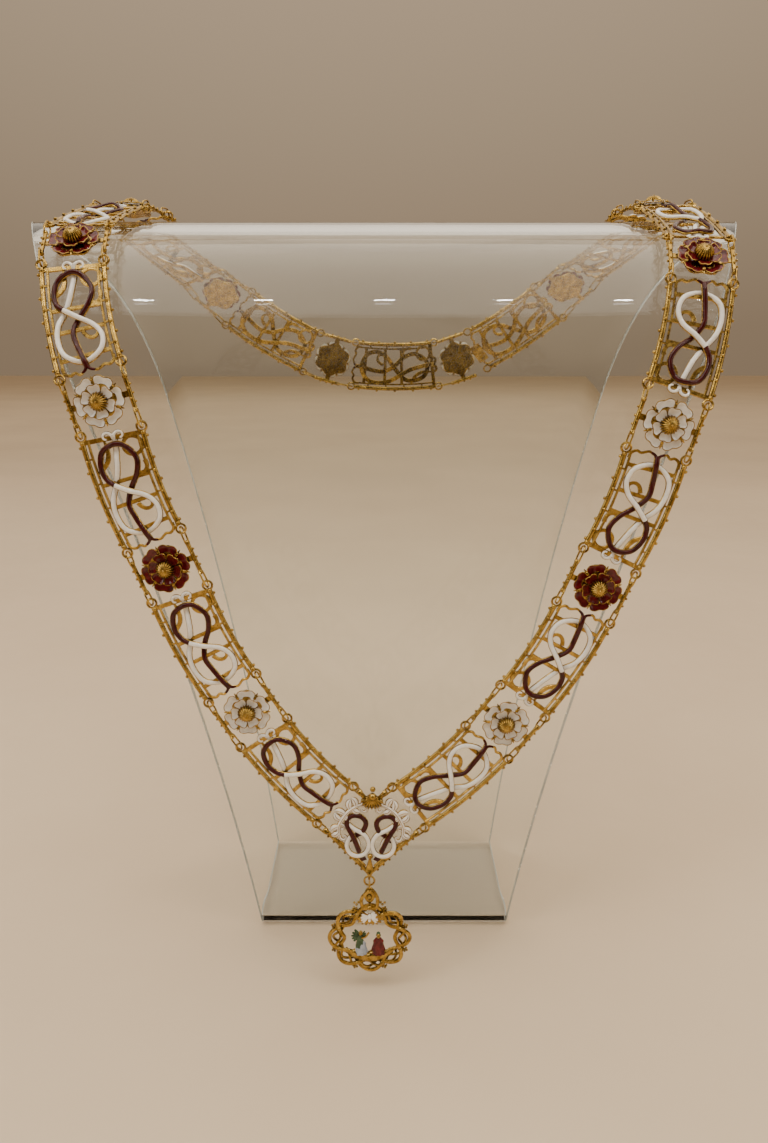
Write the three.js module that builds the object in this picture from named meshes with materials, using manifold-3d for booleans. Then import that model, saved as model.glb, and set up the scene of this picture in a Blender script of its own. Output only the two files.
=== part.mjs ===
// A ceremonial collar of gilt and enamelled links over a clear acrylic stand, its badge hanging in front.
// Millimetres, +Z up, the stand's foot on z = 0, the front of the collar towards -Y.
import * as THREE from 'three';
import { mergeVertices } from 'three/addons/utils/BufferGeometryUtils.js';
import Module from 'manifold-3d';

const wasm = await Module();
wasm.setup();

// Links: the distance between the two rails, and the plate as a sector of a ring
const RAIL_SPACING = 30;
const RAIL_WIDTH = 2.4;
const METAL = 1.3;
const PLATE_LENGTH = 56.25;
const PLATE_RADIUS = 225;
const ROSE_LENGTH = 18.5;
const JOINT_GAP = 5.5;
const EAR = 2.7;
const EAR_HOLE = 2;
const RUNG_WIDTH = 1.8;

// Wire work
const CORD_RADIUS = 1.35;
const CORD_SIDES = 4;
const WIRE_RADIUS = 0.45;
const WIRE_SIDES = 5;
const JUMP_RING_HEIGHT = 3.2;
const JUMP_RING_SLACK = 0.8;
const JUMP_RING_STEPS = 6;
const RING_RADIUS = 2.8;
const LOOP_RADIUS = 1.75;

// Rose
const ROSE_RADIUS = 12.2;
const ROSE_DOME = 4.6;
const PETALS = 6;

// Centre link, drawn with its lower tip at (0, 0)
const V_TIP = { x: -8, z: 77 };
const V_TILT = 2;
const V_OUTER = { x: 24.5, y: 25.8 };
const V_INNER = { x: 6.7, y: 49.5 };
const V_LEAN = -53;
const CENTRE_KNOT_STEPS = 6;

// Badge
const BADGE_RADIUS = { x: 18.4, z: 17 };
const BADGE_LOBES = 8;
const BADGE_WAVE = 4.2;
const BADGE_CORD = 1.25;
const BADGE_DROP = 39.5;

// Stand: one sheet that rises from the front foot, goes round the crest and down to the back foot
const SHEET = 5;
const CREST_HEIGHT = 338;
const CREST_RADIUS = 85.6;
const CREST_STEPS = 12;
const FRONT_FOOT_Y = -42;
const BACK_FOOT_Y = 52;
const FOOT_HALF_WIDTH = 78;
const FLARE = 0.139;
const FLARE_GROWTH = 0.000236;

// The plane in which the front of the collar hangs, measured from the crest's axis
const COLLAR_FRONT_Y = -99.3;

// A row for each link, going up from the centre link. Degrees: lean turns the link inwards in the sheet,
// bend is how far it has gone over the crest. The left strand has skew and slip more, the right one less.
const STRAND = [
  { kind: 'plate', lean: -44, skew: 3, bend: 0, slip: 0 },
  { kind: 'rose', lean: -34, skew: 3, bend: 0, slip: 0 },
  { kind: 'plate', lean: -28, skew: 2.5, bend: 0, slip: 0 },
  { kind: 'rose', lean: -22, skew: 0.5, bend: 0, slip: 0 },
  { kind: 'plate', lean: -18.5, skew: 1, bend: 0, slip: 0 },
  { kind: 'rose', lean: -15.5, skew: 0.5, bend: 0, slip: 0 },
  { kind: 'plate', lean: -12.5, skew: 0.5, bend: 21.5, slip: 3 },
  { kind: 'rose', lean: -6, skew: 1, bend: 45.5, slip: 3 },
  { kind: 'plate', lean: 3.5, skew: 1.5, bend: 70, slip: 3 },
  { kind: 'rose', lean: 13.5, skew: 1.5, bend: 95.5, slip: 2.5 },
  { kind: 'plate', lean: 24.5, skew: 1.5, bend: 120.5, slip: 2.5 },
  { kind: 'rose', lean: 38.5, skew: 2.5, bend: 144.5, slip: 2.5 },
  { kind: 'plate', lean: 55, skew: 2, bend: 164.5, slip: 2 },
  { kind: 'rose', lean: 72.5, skew: 1.5, bend: 180, slip: 0 },
];

// A plate's cord: from its red foot round the red loop, over the middle and round the white loop
const CORD_OVER = 1.8;
const CORD_UNDER = -1.0;
const CORD_LEVEL = 0.4;
const CORD = [
  { along: -27, across: 0.8, height: 0.6 },
  { along: -22.6, across: 1.2, height: CORD_OVER },
  { along: -14, across: 2.9, height: CORD_LEVEL },
  { along: -7.5, across: 3.2, height: CORD_LEVEL },
  { along: -1, across: 0, height: CORD_UNDER },
  { along: 6, across: -6.2, height: CORD_LEVEL },
  { along: 13.5, across: -8.4, height: CORD_LEVEL },
  { along: 20.4, across: -4.6, height: CORD_LEVEL },
  { along: 22.2, across: 0.4, height: CORD_OVER },
  { along: 19.4, across: 7, height: CORD_LEVEL },
  { along: 13, across: 9.6, height: CORD_LEVEL },
  { along: 7.2, across: 9, height: CORD_LEVEL },
  { along: 3.4, across: 5.8, height: CORD_OVER },
  { along: -1, across: 0, height: CORD_OVER },
  { along: -6, across: -6.8, height: CORD_LEVEL },
  { along: -12.5, across: -9.8, height: CORD_LEVEL },
  { along: -19.5, across: -7.4, height: CORD_LEVEL },
  { along: -22.6, across: 1.2, height: CORD_UNDER },
  { along: -18.6, across: 9, height: CORD_LEVEL },
  { along: -11.5, across: 11.2, height: CORD_LEVEL },
  { along: -3.5, across: 9.8, height: CORD_LEVEL },
  { along: 3.4, across: 5.8, height: CORD_UNDER },
  { along: 11, across: 2, height: CORD_LEVEL },
  { along: 22.2, across: -0.3, height: CORD_UNDER },
  { along: 26.4, across: -0.3, height: 0 },
];
const CORD_STEPS = 28;

const gold = new THREE.MeshStandardMaterial({ color: 0xb48a3c, roughness: 0.35, metalness: 1 });
const whiteEnamel = new THREE.MeshStandardMaterial({ color: 0xe6e2d8, roughness: 0.2, metalness: 0 });
const redEnamel = new THREE.MeshStandardMaterial({ color: 0x4a0a12, roughness: 0.2, metalness: 0 });
const acrylic = new THREE.MeshStandardMaterial({
  color: 0xeef4f4, roughness: 0.05, metalness: 0, transparent: true, opacity: 0.3,
});

const radians = THREE.MathUtils.degToRad;

// Closed solids and their joins

function solidOf(geometry) {
  const bare = geometry.clone();
  bare.deleteAttribute('normal');
  bare.deleteAttribute('uv');
  const merged = mergeVertices(bare, 1e-3);
  return new wasm.Manifold(new wasm.Mesh({
    numProp: 3,
    vertProperties: new Float32Array(merged.attributes.position.array),
    triVerts: new Uint32Array(merged.index.array),
  }));
}

function geometryOf(solid) {
  const mesh = solid.getMesh();
  const geometry = new THREE.BufferGeometry();
  geometry.setAttribute('position', new THREE.BufferAttribute(mesh.vertProperties, 3));
  geometry.setIndex(new THREE.BufferAttribute(mesh.triVerts, 1));
  geometry.computeVertexNormals();
  return geometry;
}

function fuse(geometries) {
  return geometryOf(geometries.map(solidOf).reduce((whole, piece) => whole.add(piece)));
}

function polygon(sides, radius, x = 0, y = 0) {
  return Array.from({ length: sides }, (_, i) => {
    const angle = (2 * Math.PI * i) / sides;
    return new THREE.Vector2(x + radius * Math.cos(angle), y + radius * Math.sin(angle));
  });
}

function slab(shape, bottom, top) {
  const geometry = new THREE.ExtrudeGeometry(shape, { depth: top - bottom, bevelEnabled: false });
  return geometry.translate(0, 0, bottom);
}

function box(x, y, z, sizeX, sizeY, sizeZ) {
  return new THREE.BoxGeometry(sizeX, sizeY, sizeZ).translate(x, y, z);
}

function tube(points, radius, sides, steps) {
  return new THREE.ExtrudeGeometry(new THREE.Shape(polygon(sides, radius)), {
    extrudePath: new THREE.CatmullRomCurve3(points),
    steps,
    bevelEnabled: false,
  });
}

// The run of the links round the loop

// Unit directions of a link on one side (-1 left, 1 right): up the strand, out of the loop, off the sheet
function sheetAxes(lean, bend, side) {
  const up = new THREE.Vector3(0, Math.sin(radians(bend)), Math.cos(radians(bend)));
  const inwards = new THREE.Vector3(-side, 0, 0);
  const cos = Math.cos(radians(lean));
  const sin = Math.sin(radians(lean));
  return {
    along: up.clone().multiplyScalar(cos).addScaledVector(inwards, sin),
    outward: up.clone().multiplyScalar(sin).addScaledVector(inwards, -cos),
    normal: new THREE.Vector3(0, -Math.cos(radians(bend)), Math.sin(radians(bend))),
  };
}

function vPoint(x, y) {
  const tilt = radians(V_TILT);
  return new THREE.Vector3(
    V_TIP.x + Math.cos(tilt) * x + Math.sin(tilt) * y,
    COLLAR_FRONT_Y,
    V_TIP.z - Math.sin(tilt) * x + Math.cos(tilt) * y,
  );
}

// A plate's ends lie a little inside its middle, because it is a sector of a ring
const PLATE_END = onArc(PLATE_LENGTH / 2, 0);

function onArc(along, across) {
  const angle = along / PLATE_RADIUS;
  const radius = PLATE_RADIUS + across;
  return new THREE.Vector2(radius * Math.sin(angle), radius * Math.cos(angle) - PLATE_RADIUS);
}

function walkStrand(side) {
  const outer = vPoint(side * V_OUTER.x, V_OUTER.y);
  const inner = vPoint(side * V_INNER.x, V_INNER.y);
  const end = outer.add(inner).multiplyScalar(0.5);
  let last = { lean: V_LEAN - side * V_TILT, bend: 0 };
  return {
    links: STRAND.map((row) => {
      const now = { lean: row.lean - side * row.skew, bend: row.bend - side * row.slip };
      const axes = sheetAxes(now.lean, now.bend, side);
      end.addScaledVector(jointWay(last, now, side), JOINT_GAP);
      const half = row.kind === 'plate' ? PLATE_END : new THREE.Vector2(ROSE_LENGTH / 2, 0);
      const centre = end.clone().addScaledVector(axes.along, half.x).addScaledVector(axes.outward, -half.y);
      end.addScaledVector(axes.along, 2 * half.x);
      last = now;
      return { kind: row.kind, centre, axes };
    }),
    end: end.addScaledVector(jointWay(last, { lean: 90, bend: 180 }, side), JOINT_GAP),
  };
}

function jointWay(last, now, side) {
  return sheetAxes((last.lean + now.lean) / 2, (last.bend + now.bend) / 2, side).along;
}

// The whole loop in order: centre link, left strand, centre back plate, right strand
function layOutLoop() {
  const left = walkStrand(-1);
  const right = walkStrand(1);
  const opening = right.end.clone().sub(left.end);
  opening.x -= 2 * PLATE_END.x;
  const joints = STRAND.length + 1;
  left.links.forEach((link, i) => link.centre.addScaledVector(opening, (0.5 * (i + 1)) / joints));
  right.links.forEach((link, i) => link.centre.addScaledVector(opening, (-0.5 * (i + 1)) / joints));
  const back = sheetAxes(90, 180, -1);
  const middle = left.end.clone().lerp(right.end, 0.5).addScaledVector(back.outward, -PLATE_END.y);
  right.links.forEach((link) => link.axes.along.negate());
  const tilt = radians(V_TILT);
  const centreLink = {
    kind: 'centre',
    centre: vPoint(0, 0),
    axes: {
      along: new THREE.Vector3(Math.cos(tilt), 0, -Math.sin(tilt)),
      outward: new THREE.Vector3(Math.sin(tilt), 0, Math.cos(tilt)),
      normal: new THREE.Vector3(0, -1, 0),
    },
  };
  const backPlate = { kind: 'plate', centre: middle, axes: back };
  const links = [centreLink, ...left.links, backPlate, ...right.links.reverse()];
  return links.map(({ kind, centre, axes }) => ({
    kind,
    matrix: new THREE.Matrix4().makeBasis(axes.along, axes.outward, axes.normal).setPosition(centre),
  }));
}

// Links

function plateOutline() {
  const half = PLATE_LENGTH / 2;
  const rail = RAIL_SPACING / 2;
  const edge = rail + RAIL_WIDTH / 2;
  const corner = [[-1.2, -EAR], [0.6 * EAR, -0.9 * EAR], [EAR, 0], [0.4 * EAR, 0.9 * EAR]];
  const ear = (end, side) => {
    const points = corner.map(([out, wide]) => onArc(end * (half + out), side * (rail + wide)));
    return end === side ? points : points.reverse();
  };
  return [
    ...ear(1, 1), onArc(9, edge), onArc(-9, edge), ...ear(-1, 1),
    ...ear(-1, -1), onArc(-9, -edge), onArc(9, -edge), ...ear(1, -1),
  ];
}

function plateFrame() {
  const shape = new THREE.Shape(plateOutline());
  const inside = (RAIL_SPACING - RAIL_WIDTH) / 2;
  const endBar = PLATE_LENGTH / 2 - 1.2 - RUNG_WIDTH;
  shape.holes.push(new THREE.Path([
    onArc(-endBar, -inside), onArc(0, -inside), onArc(endBar, -inside),
    onArc(endBar, inside), onArc(0, inside), onArc(-endBar, inside),
  ]));
  for (const end of [-1, 1]) {
    for (const side of [-1, 1]) {
      const eye = onArc((end * PLATE_LENGTH) / 2, (side * RAIL_SPACING) / 2);
      shape.holes.push(new THREE.Path(polygon(WIRE_SIDES, EAR_HOLE, eye.x, eye.y)));
    }
  }
  return slab(shape, -METAL / 2, METAL / 2);
}

function plate() {
  const route = CORD.map(({ along, across, height }) => {
    const flat = onArc(along, across);
    return new THREE.Vector3(flat.x, flat.y, height);
  });
  return fuse([plateFrame(), tube(route, CORD_RADIUS, CORD_SIDES, CORD_STEPS)]);
}

function flower(radius, notch) {
  return new THREE.Shape(Array.from({ length: 2 * PETALS }, (_, i) => {
    const angle = (Math.PI * i) / PETALS;
    const reach = i % 2 === 0 ? radius * notch : radius;
    return new THREE.Vector2(reach * Math.cos(angle), reach * Math.sin(angle));
  }));
}

// A jump ring from a link's rail end to the eye of the next plate, as a squared oval that stands across both
function jumpRing(start, eye, eyeNormal) {
  const way = eye.clone().sub(start).normalize();
  const tip = eye.clone().addScaledVector(way, JUMP_RING_SLACK);
  const half = tip.distanceTo(start) / 2;
  const across = eyeNormal.clone().add(new THREE.Vector3(0, 0, 1));
  across.addScaledVector(way, -across.dot(way)).normalize();
  const middle = start.clone().lerp(tip, 0.5);
  const open = radians(170);
  const points = Array.from({ length: 2 * JUMP_RING_STEPS + 1 }, (_, i) => {
    const angle = open * (i / JUMP_RING_STEPS - 1);
    const square = Math.sign(Math.cos(angle)) * Math.abs(Math.cos(angle)) ** 0.5;
    return middle.clone()
      .addScaledVector(way, half * square)
      .addScaledVector(across, JUMP_RING_HEIGHT * Math.sin(angle));
  });
  return tube(points, WIRE_RADIUS, WIRE_SIDES, JUMP_RING_STEPS);
}

// The eyes of a neighbouring plate seen from a link, outer rail first
function eyesSeenFrom(link, neighbour, end) {
  const toLink = link.matrix.clone().invert().multiply(neighbour.matrix);
  const normal = new THREE.Vector3(0, 0, 1).transformDirection(toLink);
  return [1, -1].map((side) => {
    const eye = onArc((end * PLATE_LENGTH) / 2, (side * RAIL_SPACING) / 2);
    return { side, place: new THREE.Vector3(eye.x, eye.y, 0).applyMatrix4(toLink), normal };
  });
}

function rose(link, neighbours) {
  const rail = RAIL_SPACING / 2;
  const railHalf = ROSE_LENGTH / 2 - 1;
  const dome = [[0, 2.6], [ROSE_DOME, 2.6], [0.75 * ROSE_DOME, 5.6], [0, 7]];
  const pieces = [
    box(0, rail, 0, 2 * railHalf, RAIL_WIDTH, METAL),
    box(0, -rail, 0, 2 * railHalf, RAIL_WIDTH, METAL),
    box(0, 0, 0, 3, RAIL_SPACING, METAL),
    slab(flower(ROSE_RADIUS, 0.86), -METAL / 2, METAL / 2),
    slab(new THREE.Shape(polygon(PETALS, 0.62 * ROSE_RADIUS)), 0, 3),
    new THREE.LatheGeometry(dome.map(([x, y]) => new THREE.Vector2(x, y)), PETALS).rotateX(Math.PI / 2),
  ];
  for (const { end, plateLink, plateEnd } of neighbours) {
    for (const { side, place, normal } of eyesSeenFrom(link, plateLink, plateEnd)) {
      pieces.push(jumpRing(new THREE.Vector3(end * (railHalf - 1.4), side * rail, 0), place, normal));
    }
  }
  return fuse(pieces);
}

function shapeOf(corners) {
  return new THREE.Shape(corners.map(([x, y]) => new THREE.Vector2(x, y)));
}

// The frame of the centre link's right half, from its tip out along the rail and back along the leafwork
function centreFrame(side) {
  const { x, y } = V_OUTER;
  const corners = [
    [0, -1], [x, y - 1.2], [x + 0.6, y + 1.2],
    [17.6, 21.4], [19.4, 28], [15.8, 34], [12.4, 39.8], [6.6, 43.2],
    [V_INNER.x + 0.8, V_INNER.y - 1], [V_INNER.x, V_INNER.y + 1], [2.6, 48.6], [0, 52],
    [0, 40.6], [6, 40.4], [10.4, 37.2], [13.4, 32.4], [16.2, 27],
    [15, 19], [9.6, 13.4], [3.4, 12.4], [0, 17],
  ];
  const right = corners.map(([cx, cy]) => [side * cx, cy]);
  return slab(shapeOf(side > 0 ? right : right.reverse()), -METAL / 2, METAL / 2);
}

// A small wire loop that stands across the link's width
function wireLoop() {
  return new THREE.TorusGeometry(LOOP_RADIUS, WIRE_RADIUS, WIRE_SIDES, 10).rotateY(Math.PI / 2);
}

function centreLink(link, neighbours) {
  const boss = shapeOf([[4, 48], [3.4, 43.4], [0, 41.4], [-3.4, 43.4], [-4, 48]]);
  const pieces = [
    centreFrame(1),
    centreFrame(-1),
    slab(boss, 0, 3),
    wireLoop().translate(0, -LOOP_RADIUS, 0),
    tube(centreKnot(1), CORD_RADIUS, CORD_SIDES, CENTRE_KNOT_STEPS),
    tube(centreKnot(-1), CORD_RADIUS, CORD_SIDES, CENTRE_KNOT_STEPS),
  ];
  for (const { side, plateLink, plateEnd } of neighbours) {
    for (const eye of eyesSeenFrom(link, plateLink, plateEnd)) {
      const corner = eye.side > 0 ? V_OUTER : V_INNER;
      const start = new THREE.Vector3(side * corner.x, corner.y, 0);
      const back = start.clone().sub(eye.place).setLength(1.6);
      pieces.push(jumpRing(start.add(back), eye.place, eye.normal));
    }
  }
  return fuse(pieces);
}

// One of the centre link's two small cords, from the leafwork down to the rail
function centreKnot(side) {
  const points = [[13.6, 31.5, 0], [12.2, 27, 1], [9, 22.6, CORD_OVER], [7, 17.5, 1.2], [6, 12.6, 0]];
  return points.map(([x, y, z]) => new THREE.Vector3(side * x, y, z));
}

// The badge hangs from the ring by its loop, with its middle BADGE_DROP under the hinge

function wreathCord(sign) {
  const ring = new THREE.TorusGeometry(BADGE_RADIUS.x, BADGE_CORD, CORD_SIDES, 3 * BADGE_LOBES);
  const position = ring.attributes.position;
  const point = new THREE.Vector3();
  for (let i = 0; i < position.count; i += 1) {
    point.fromBufferAttribute(position, i);
    const angle = Math.atan2(point.y, point.x);
    const wave = sign * Math.cos((BADGE_LOBES / 2) * angle);
    const out = Math.hypot(point.x, point.y) - BADGE_RADIUS.x + BADGE_WAVE * wave;
    const weave = 0.7 * sign * Math.sin((BADGE_LOBES / 2) * angle);
    position.setXYZ(
      i,
      (BADGE_RADIUS.x + out) * Math.cos(angle),
      -(point.z + weave),
      (BADGE_RADIUS.z + out) * Math.sin(angle),
    );
  }
  return ring;
}

function upright(shape, front, back) {
  return slab(shape, -back, -front).rotateX(Math.PI / 2);
}

function figure(x, foot, height, width) {
  const profile = [
    [0, 0], [width, 0], [0.8 * width, 0.5 * height],
    [0.3 * width, 0.7 * height], [0.42 * width, 0.85 * height], [0, height],
  ];
  return new THREE.LatheGeometry(profile.map(([r, z]) => new THREE.Vector2(r, z)), 6)
    .rotateX(Math.PI / 2).scale(1, 0.6, 1).translate(x, 0, foot);
}

function badge() {
  const top = BADGE_DROP - 2 * RING_RADIUS;
  const ledge = shapeOf([[-13.5, -8], [-9, -14], [0, -16], [9, -14], [13.5, -8], [0, -10]]);
  const dove = shapeOf([
    [0, 2.6], [3.4, 5], [3, 8.4], [8.6, 9.6], [3.6, 14],
    [-3.6, 14], [-8.6, 9.6], [-3, 8.4], [-3.4, 5],
  ]);
  const knot = shapeOf([[-3.4, 19], [3.4, 19], [5, 24.5], [3, 29], [0, 32.6], [-3, 29], [-5, 24.5]]);
  knot.holes.push(shapeOf([[0, 22.2], [2.6, 25.4], [0, 28.6], [-2.6, 25.4]]));
  return fuse([
    wreathCord(1),
    wreathCord(-1),
    upright(ledge, -2.4, 2.4),
    upright(dove, -1, 1),
    upright(knot, -1.3, 1.3),
    figure(-4.6, -10.4, 12, 3.8),
    figure(4.8, -10.4, 10.5, 4),
    wireLoop().translate(0, 0, top),
  ]);
}

// Stand

// Points of the sheet's outer face in the YZ plane, from the front foot over the crest to the back foot
function standProfile(inset) {
  const radius = CREST_RADIUS - inset;
  const points = [new THREE.Vector2(FRONT_FOOT_Y + inset, inset)];
  for (let i = 0; i <= CREST_STEPS; i += 1) {
    const angle = (Math.PI * i) / CREST_STEPS;
    points.push(new THREE.Vector2(-radius * Math.cos(angle), CREST_HEIGHT + radius * Math.sin(angle)));
  }
  points.splice(1, 0, points[0].clone().lerp(points[1], 0.4));
  points.push(new THREE.Vector2(BACK_FOOT_Y - inset, inset));
  points.splice(-1, 0, points.at(-1).clone().lerp(points.at(-2), 0.4));
  return points;
}

// Half the sheet's width at each point, which grows with the way up from the foot
function standHalfWidths(profile) {
  const way = [0];
  for (let i = 1; i < profile.length; i += 1) {
    way.push(way[i - 1] + profile[i].distanceTo(profile[i - 1]));
  }
  return way.map((s) => {
    const up = Math.min(s, way.at(-1) - s);
    return FOOT_HALF_WIDTH + FLARE * up + FLARE_GROWTH * up * up;
  });
}

// A closed band: each station holds the outer and inner face's ends on both sides
function stand() {
  const outer = standProfile(0);
  const inner = standProfile(SHEET);
  const widths = standHalfWidths(outer);
  const vertices = outer.flatMap((point, i) => [
    [-widths[i], point.x, point.y], [widths[i], point.x, point.y],
    [widths[i], inner[i].x, inner[i].y], [-widths[i], inner[i].x, inner[i].y],
  ]);
  const index = [];
  for (let i = 0; i < outer.length; i += 1) {
    const next = (i + 1) % outer.length;
    for (let k = 0; k < 4; k += 1) {
      const a = 4 * i + k;
      const b = 4 * i + ((k + 1) % 4);
      const c = 4 * next + ((k + 1) % 4);
      const d = 4 * next + k;
      index.push(a, b, c, a, c, d);
    }
  }
  const geometry = new THREE.BufferGeometry();
  geometry.setAttribute('position', new THREE.BufferAttribute(new Float32Array(vertices.flat()), 3));
  geometry.setIndex(index);
  geometry.computeVertexNormals();
  return geometry;
}

// Assembly

const group = new THREE.Group();

function addPiece(name, geometry, material, matrix = new THREE.Matrix4()) {
  const mesh = new THREE.Mesh(geometry, material);
  mesh.name = name;
  mesh.applyMatrix4(matrix);
  group.add(mesh);
  return mesh;
}

const numbered = (name, count) => `${name}_${String(count).padStart(2, '0')}`;
const loop = layOutLoop();
const plateGeometry = plate();
const CLASP_PLATE = 9;
let plates = 0;
let roses = 0;
loop.forEach((link, i) => {
  const next = loop[(i + 1) % loop.length];
  const previous = loop[(i + loop.length - 1) % loop.length];
  if (link.kind === 'plate') {
    plates += 1;
    addPiece(numbered('plate', plates), plateGeometry, gold, link.matrix);
    if (plates === CLASP_PLATE) {
      addPiece('clasp', box(-28, 0, -1.8, 7, 13, 0.8), gold, link.matrix);
    }
  } else if (link.kind === 'rose') {
    roses += 1;
    const neighbours = [{ end: -1, plateLink: previous, plateEnd: 1 }];
    if (plates + 1 !== CLASP_PLATE) {
      neighbours.push({ end: 1, plateLink: next, plateEnd: -1 });
    }
    const white = roses % 2 === (roses <= STRAND.length / 2 ? 1 : 0);
    addPiece(numbered('rose', roses), rose(link, neighbours), white ? whiteEnamel : redEnamel, link.matrix);
  } else {
    const neighbours = [
      { side: -1, plateLink: next, plateEnd: -1 },
      { side: 1, plateLink: previous, plateEnd: 1 },
    ];
    addPiece('v_link', centreLink(link, neighbours), gold, link.matrix);
  }
});

const hinge = new THREE.Vector3(0, -LOOP_RADIUS, 0).applyMatrix4(loop[0].matrix);
const ring = new THREE.TorusGeometry(RING_RADIUS, WIRE_RADIUS, WIRE_SIDES, 12).rotateX(Math.PI / 2);
addPiece('pendant_ring', ring, gold).position.copy(hinge).add(new THREE.Vector3(0, 0, -RING_RADIUS));
addPiece('pendant', badge(), gold).position.copy(hinge).add(new THREE.Vector3(0, 0, -BADGE_DROP));
addPiece('stand', stand(), acrylic);

// Stand the whole over the middle of its own box
group.updateMatrixWorld(true);
const bounds = new THREE.Box3().setFromObject(group, true);
group.position.set(-(bounds.min.x + bounds.max.x) / 2, -(bounds.min.y + bounds.max.y) / 2, 0);

export default group;
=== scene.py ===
"""Looks of a ceremonial collar on its clear stand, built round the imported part.

Every link is worked out in its own flat drawing, in millimetres: x along the strand, y out of
the loop and z off the sheet. The layout then carries it to its place in the loop, in metres.
"""
import logging
import math
from dataclasses import dataclass, field
from enum import Enum
from typing import Sequence

import bpy
import numpy as np
from mathutils import Euler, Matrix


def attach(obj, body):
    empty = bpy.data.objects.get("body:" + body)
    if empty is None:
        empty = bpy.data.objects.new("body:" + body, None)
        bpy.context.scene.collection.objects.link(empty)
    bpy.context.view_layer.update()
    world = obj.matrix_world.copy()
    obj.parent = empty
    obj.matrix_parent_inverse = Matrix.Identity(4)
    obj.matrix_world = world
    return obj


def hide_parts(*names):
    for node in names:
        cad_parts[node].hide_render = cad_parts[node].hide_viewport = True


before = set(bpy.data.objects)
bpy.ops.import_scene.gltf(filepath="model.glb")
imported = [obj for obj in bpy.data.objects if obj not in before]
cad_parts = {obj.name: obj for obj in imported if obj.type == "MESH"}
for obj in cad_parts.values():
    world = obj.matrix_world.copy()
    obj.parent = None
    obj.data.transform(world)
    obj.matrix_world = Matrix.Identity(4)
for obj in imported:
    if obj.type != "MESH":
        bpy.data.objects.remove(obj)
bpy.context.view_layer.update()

LOG = logging.getLogger("collar")
MM = 0.001
Array = np.ndarray
UP = np.array([0.0, 0.0, 1.0])
SHARP_ANGLE = 42.0
HOLLOW_SAMPLES = 6
MIX_DARK, MIX_OPEN, MIX_COLOUR = 6, 7, 2


class Body(Enum):
    """The rigid bodies that pieces ride on."""

    COLLAR = "collar_on_stand"
    BADGE = "badge"


class Slot(Enum):
    """The record's material slots."""

    GOLD = "gold"
    WHITE = "white_enamel"
    RED = "red_enamel"
    ACRYLIC = "acrylic"


class LinkKind(Enum):
    """The three kinds of link in the loop."""

    CENTRE = "centre"
    PLATE = "plate"
    ROSE = "rose"


# Surfaces


@dataclass
class Shell:
    """One closed surface.

    Attributes:
        points: Corner positions, n by 3.
        quads: Four-sided faces, as rows of point numbers.
        tris: Three-sided faces, as rows of point numbers.
    """

    points: Array
    quads: Array
    tris: Array

    def moved(self, axes: Array, centre: Array) -> "Shell":
        """The shell carried to another frame.

        Args:
            axes: The frame's three unit directions, as rows.
            centre: The frame's origin.

        Returns:
            A new shell with the same faces.
        """
        return Shell(self.points @ axes + centre, self.quads, self.tris)

    def outwards(self) -> "Shell":
        """The shell with its faces turned out: the sum of a . (b x c) over its corners is positive."""
        fans = np.concatenate([self.quads[:, :3], self.quads[:, [0, 2, 3]], self.tris])
        a, b, c = (self.points - self.points.mean(0))[fans].transpose(1, 0, 2)
        if np.einsum("ij,ij->", a, np.cross(b, c)) < 0:
            return Shell(self.points, self.quads[:, ::-1], self.tris[:, ::-1])
        return self


def join(shells: Sequence[Shell]) -> Shell:
    """Puts several shells into one list of points and faces.

    Args:
        shells: The shells to join.

    Returns:
        One shell that holds them all.
    """
    starts = np.cumsum([0] + [len(shell.points) for shell in shells[:-1]])
    return Shell(
        np.concatenate([shell.points for shell in shells]),
        np.concatenate([shell.quads + start for shell, start in zip(shells, starts)]),
        np.concatenate([shell.tris + start for shell, start in zip(shells, starts)]),
    )


def loft(rings: Array, closed: bool = False) -> Shell:
    """A skin over a row of rings: each quad joins a ring's step to the same step of the next ring.

    Args:
        rings: Stations by ring points by 3.
        closed: True joins the last ring to the first; False shuts both ends with a fan.

    Returns:
        The closed skin.
    """
    stations, around = rings.shape[:2]
    points = rings.reshape(-1, 3)
    last = stations if closed else stations - 1
    i, j = np.meshgrid(np.arange(last), np.arange(around), indexing="ij")
    after, beside = (i + 1) % stations, (j + 1) % around
    corners = (i * around + j, after * around + j, after * around + beside, i * around + beside)
    quads = np.stack(corners, -1).reshape(-1, 4)
    tris = np.zeros((0, 3), int)
    if not closed:
        steps = np.arange(around)
        turn = (steps + 1) % around
        far = (stations - 1) * around
        pole = np.full(around, len(points))
        tris = np.concatenate([
            np.stack([pole, steps, turn], -1),
            np.stack([pole + 1, far + turn, far + steps], -1),
        ])
        points = np.concatenate([points, rings[:1].mean(1), rings[-1:].mean(1)])
    return Shell(points, quads, tris).outwards()


def round_profile(half_width: float, half_height: float, sides: int = 10, lift: float = 0.0) -> Array:
    """An ellipse in a path's cross plane: (half_width cos a, half_height sin a + lift).

    Args:
        half_width: Half of the profile across the path.
        half_height: Half of the profile off the sheet.
        sides: Number of points.
        lift: How far the middle is moved off the sheet.

    Returns:
        The points, sides by 2.
    """
    angle = 2 * np.pi * np.arange(sides) / sides
    return np.stack([half_width * np.cos(angle), half_height * np.sin(angle) + lift], -1)


def bar_profile(half_width: float, half_height: float, lift: float = 0.0) -> Array:
    """A flat bar's section with its four edges cut off at a slant.

    Args:
        half_width: Half of the bar's width.
        half_height: Half of its thickness.
        lift: How far the middle is moved off the sheet.

    Returns:
        Eight points.
    """
    cut = 0.35 * min(half_width, half_height)
    x = np.array([half_width, half_width, half_width - cut, cut - half_width])
    y = np.array([cut - half_height, half_height - cut, half_height, half_height])
    return np.stack([np.concatenate([x, -x]), np.concatenate([y, -y]) + lift], -1)


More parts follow.
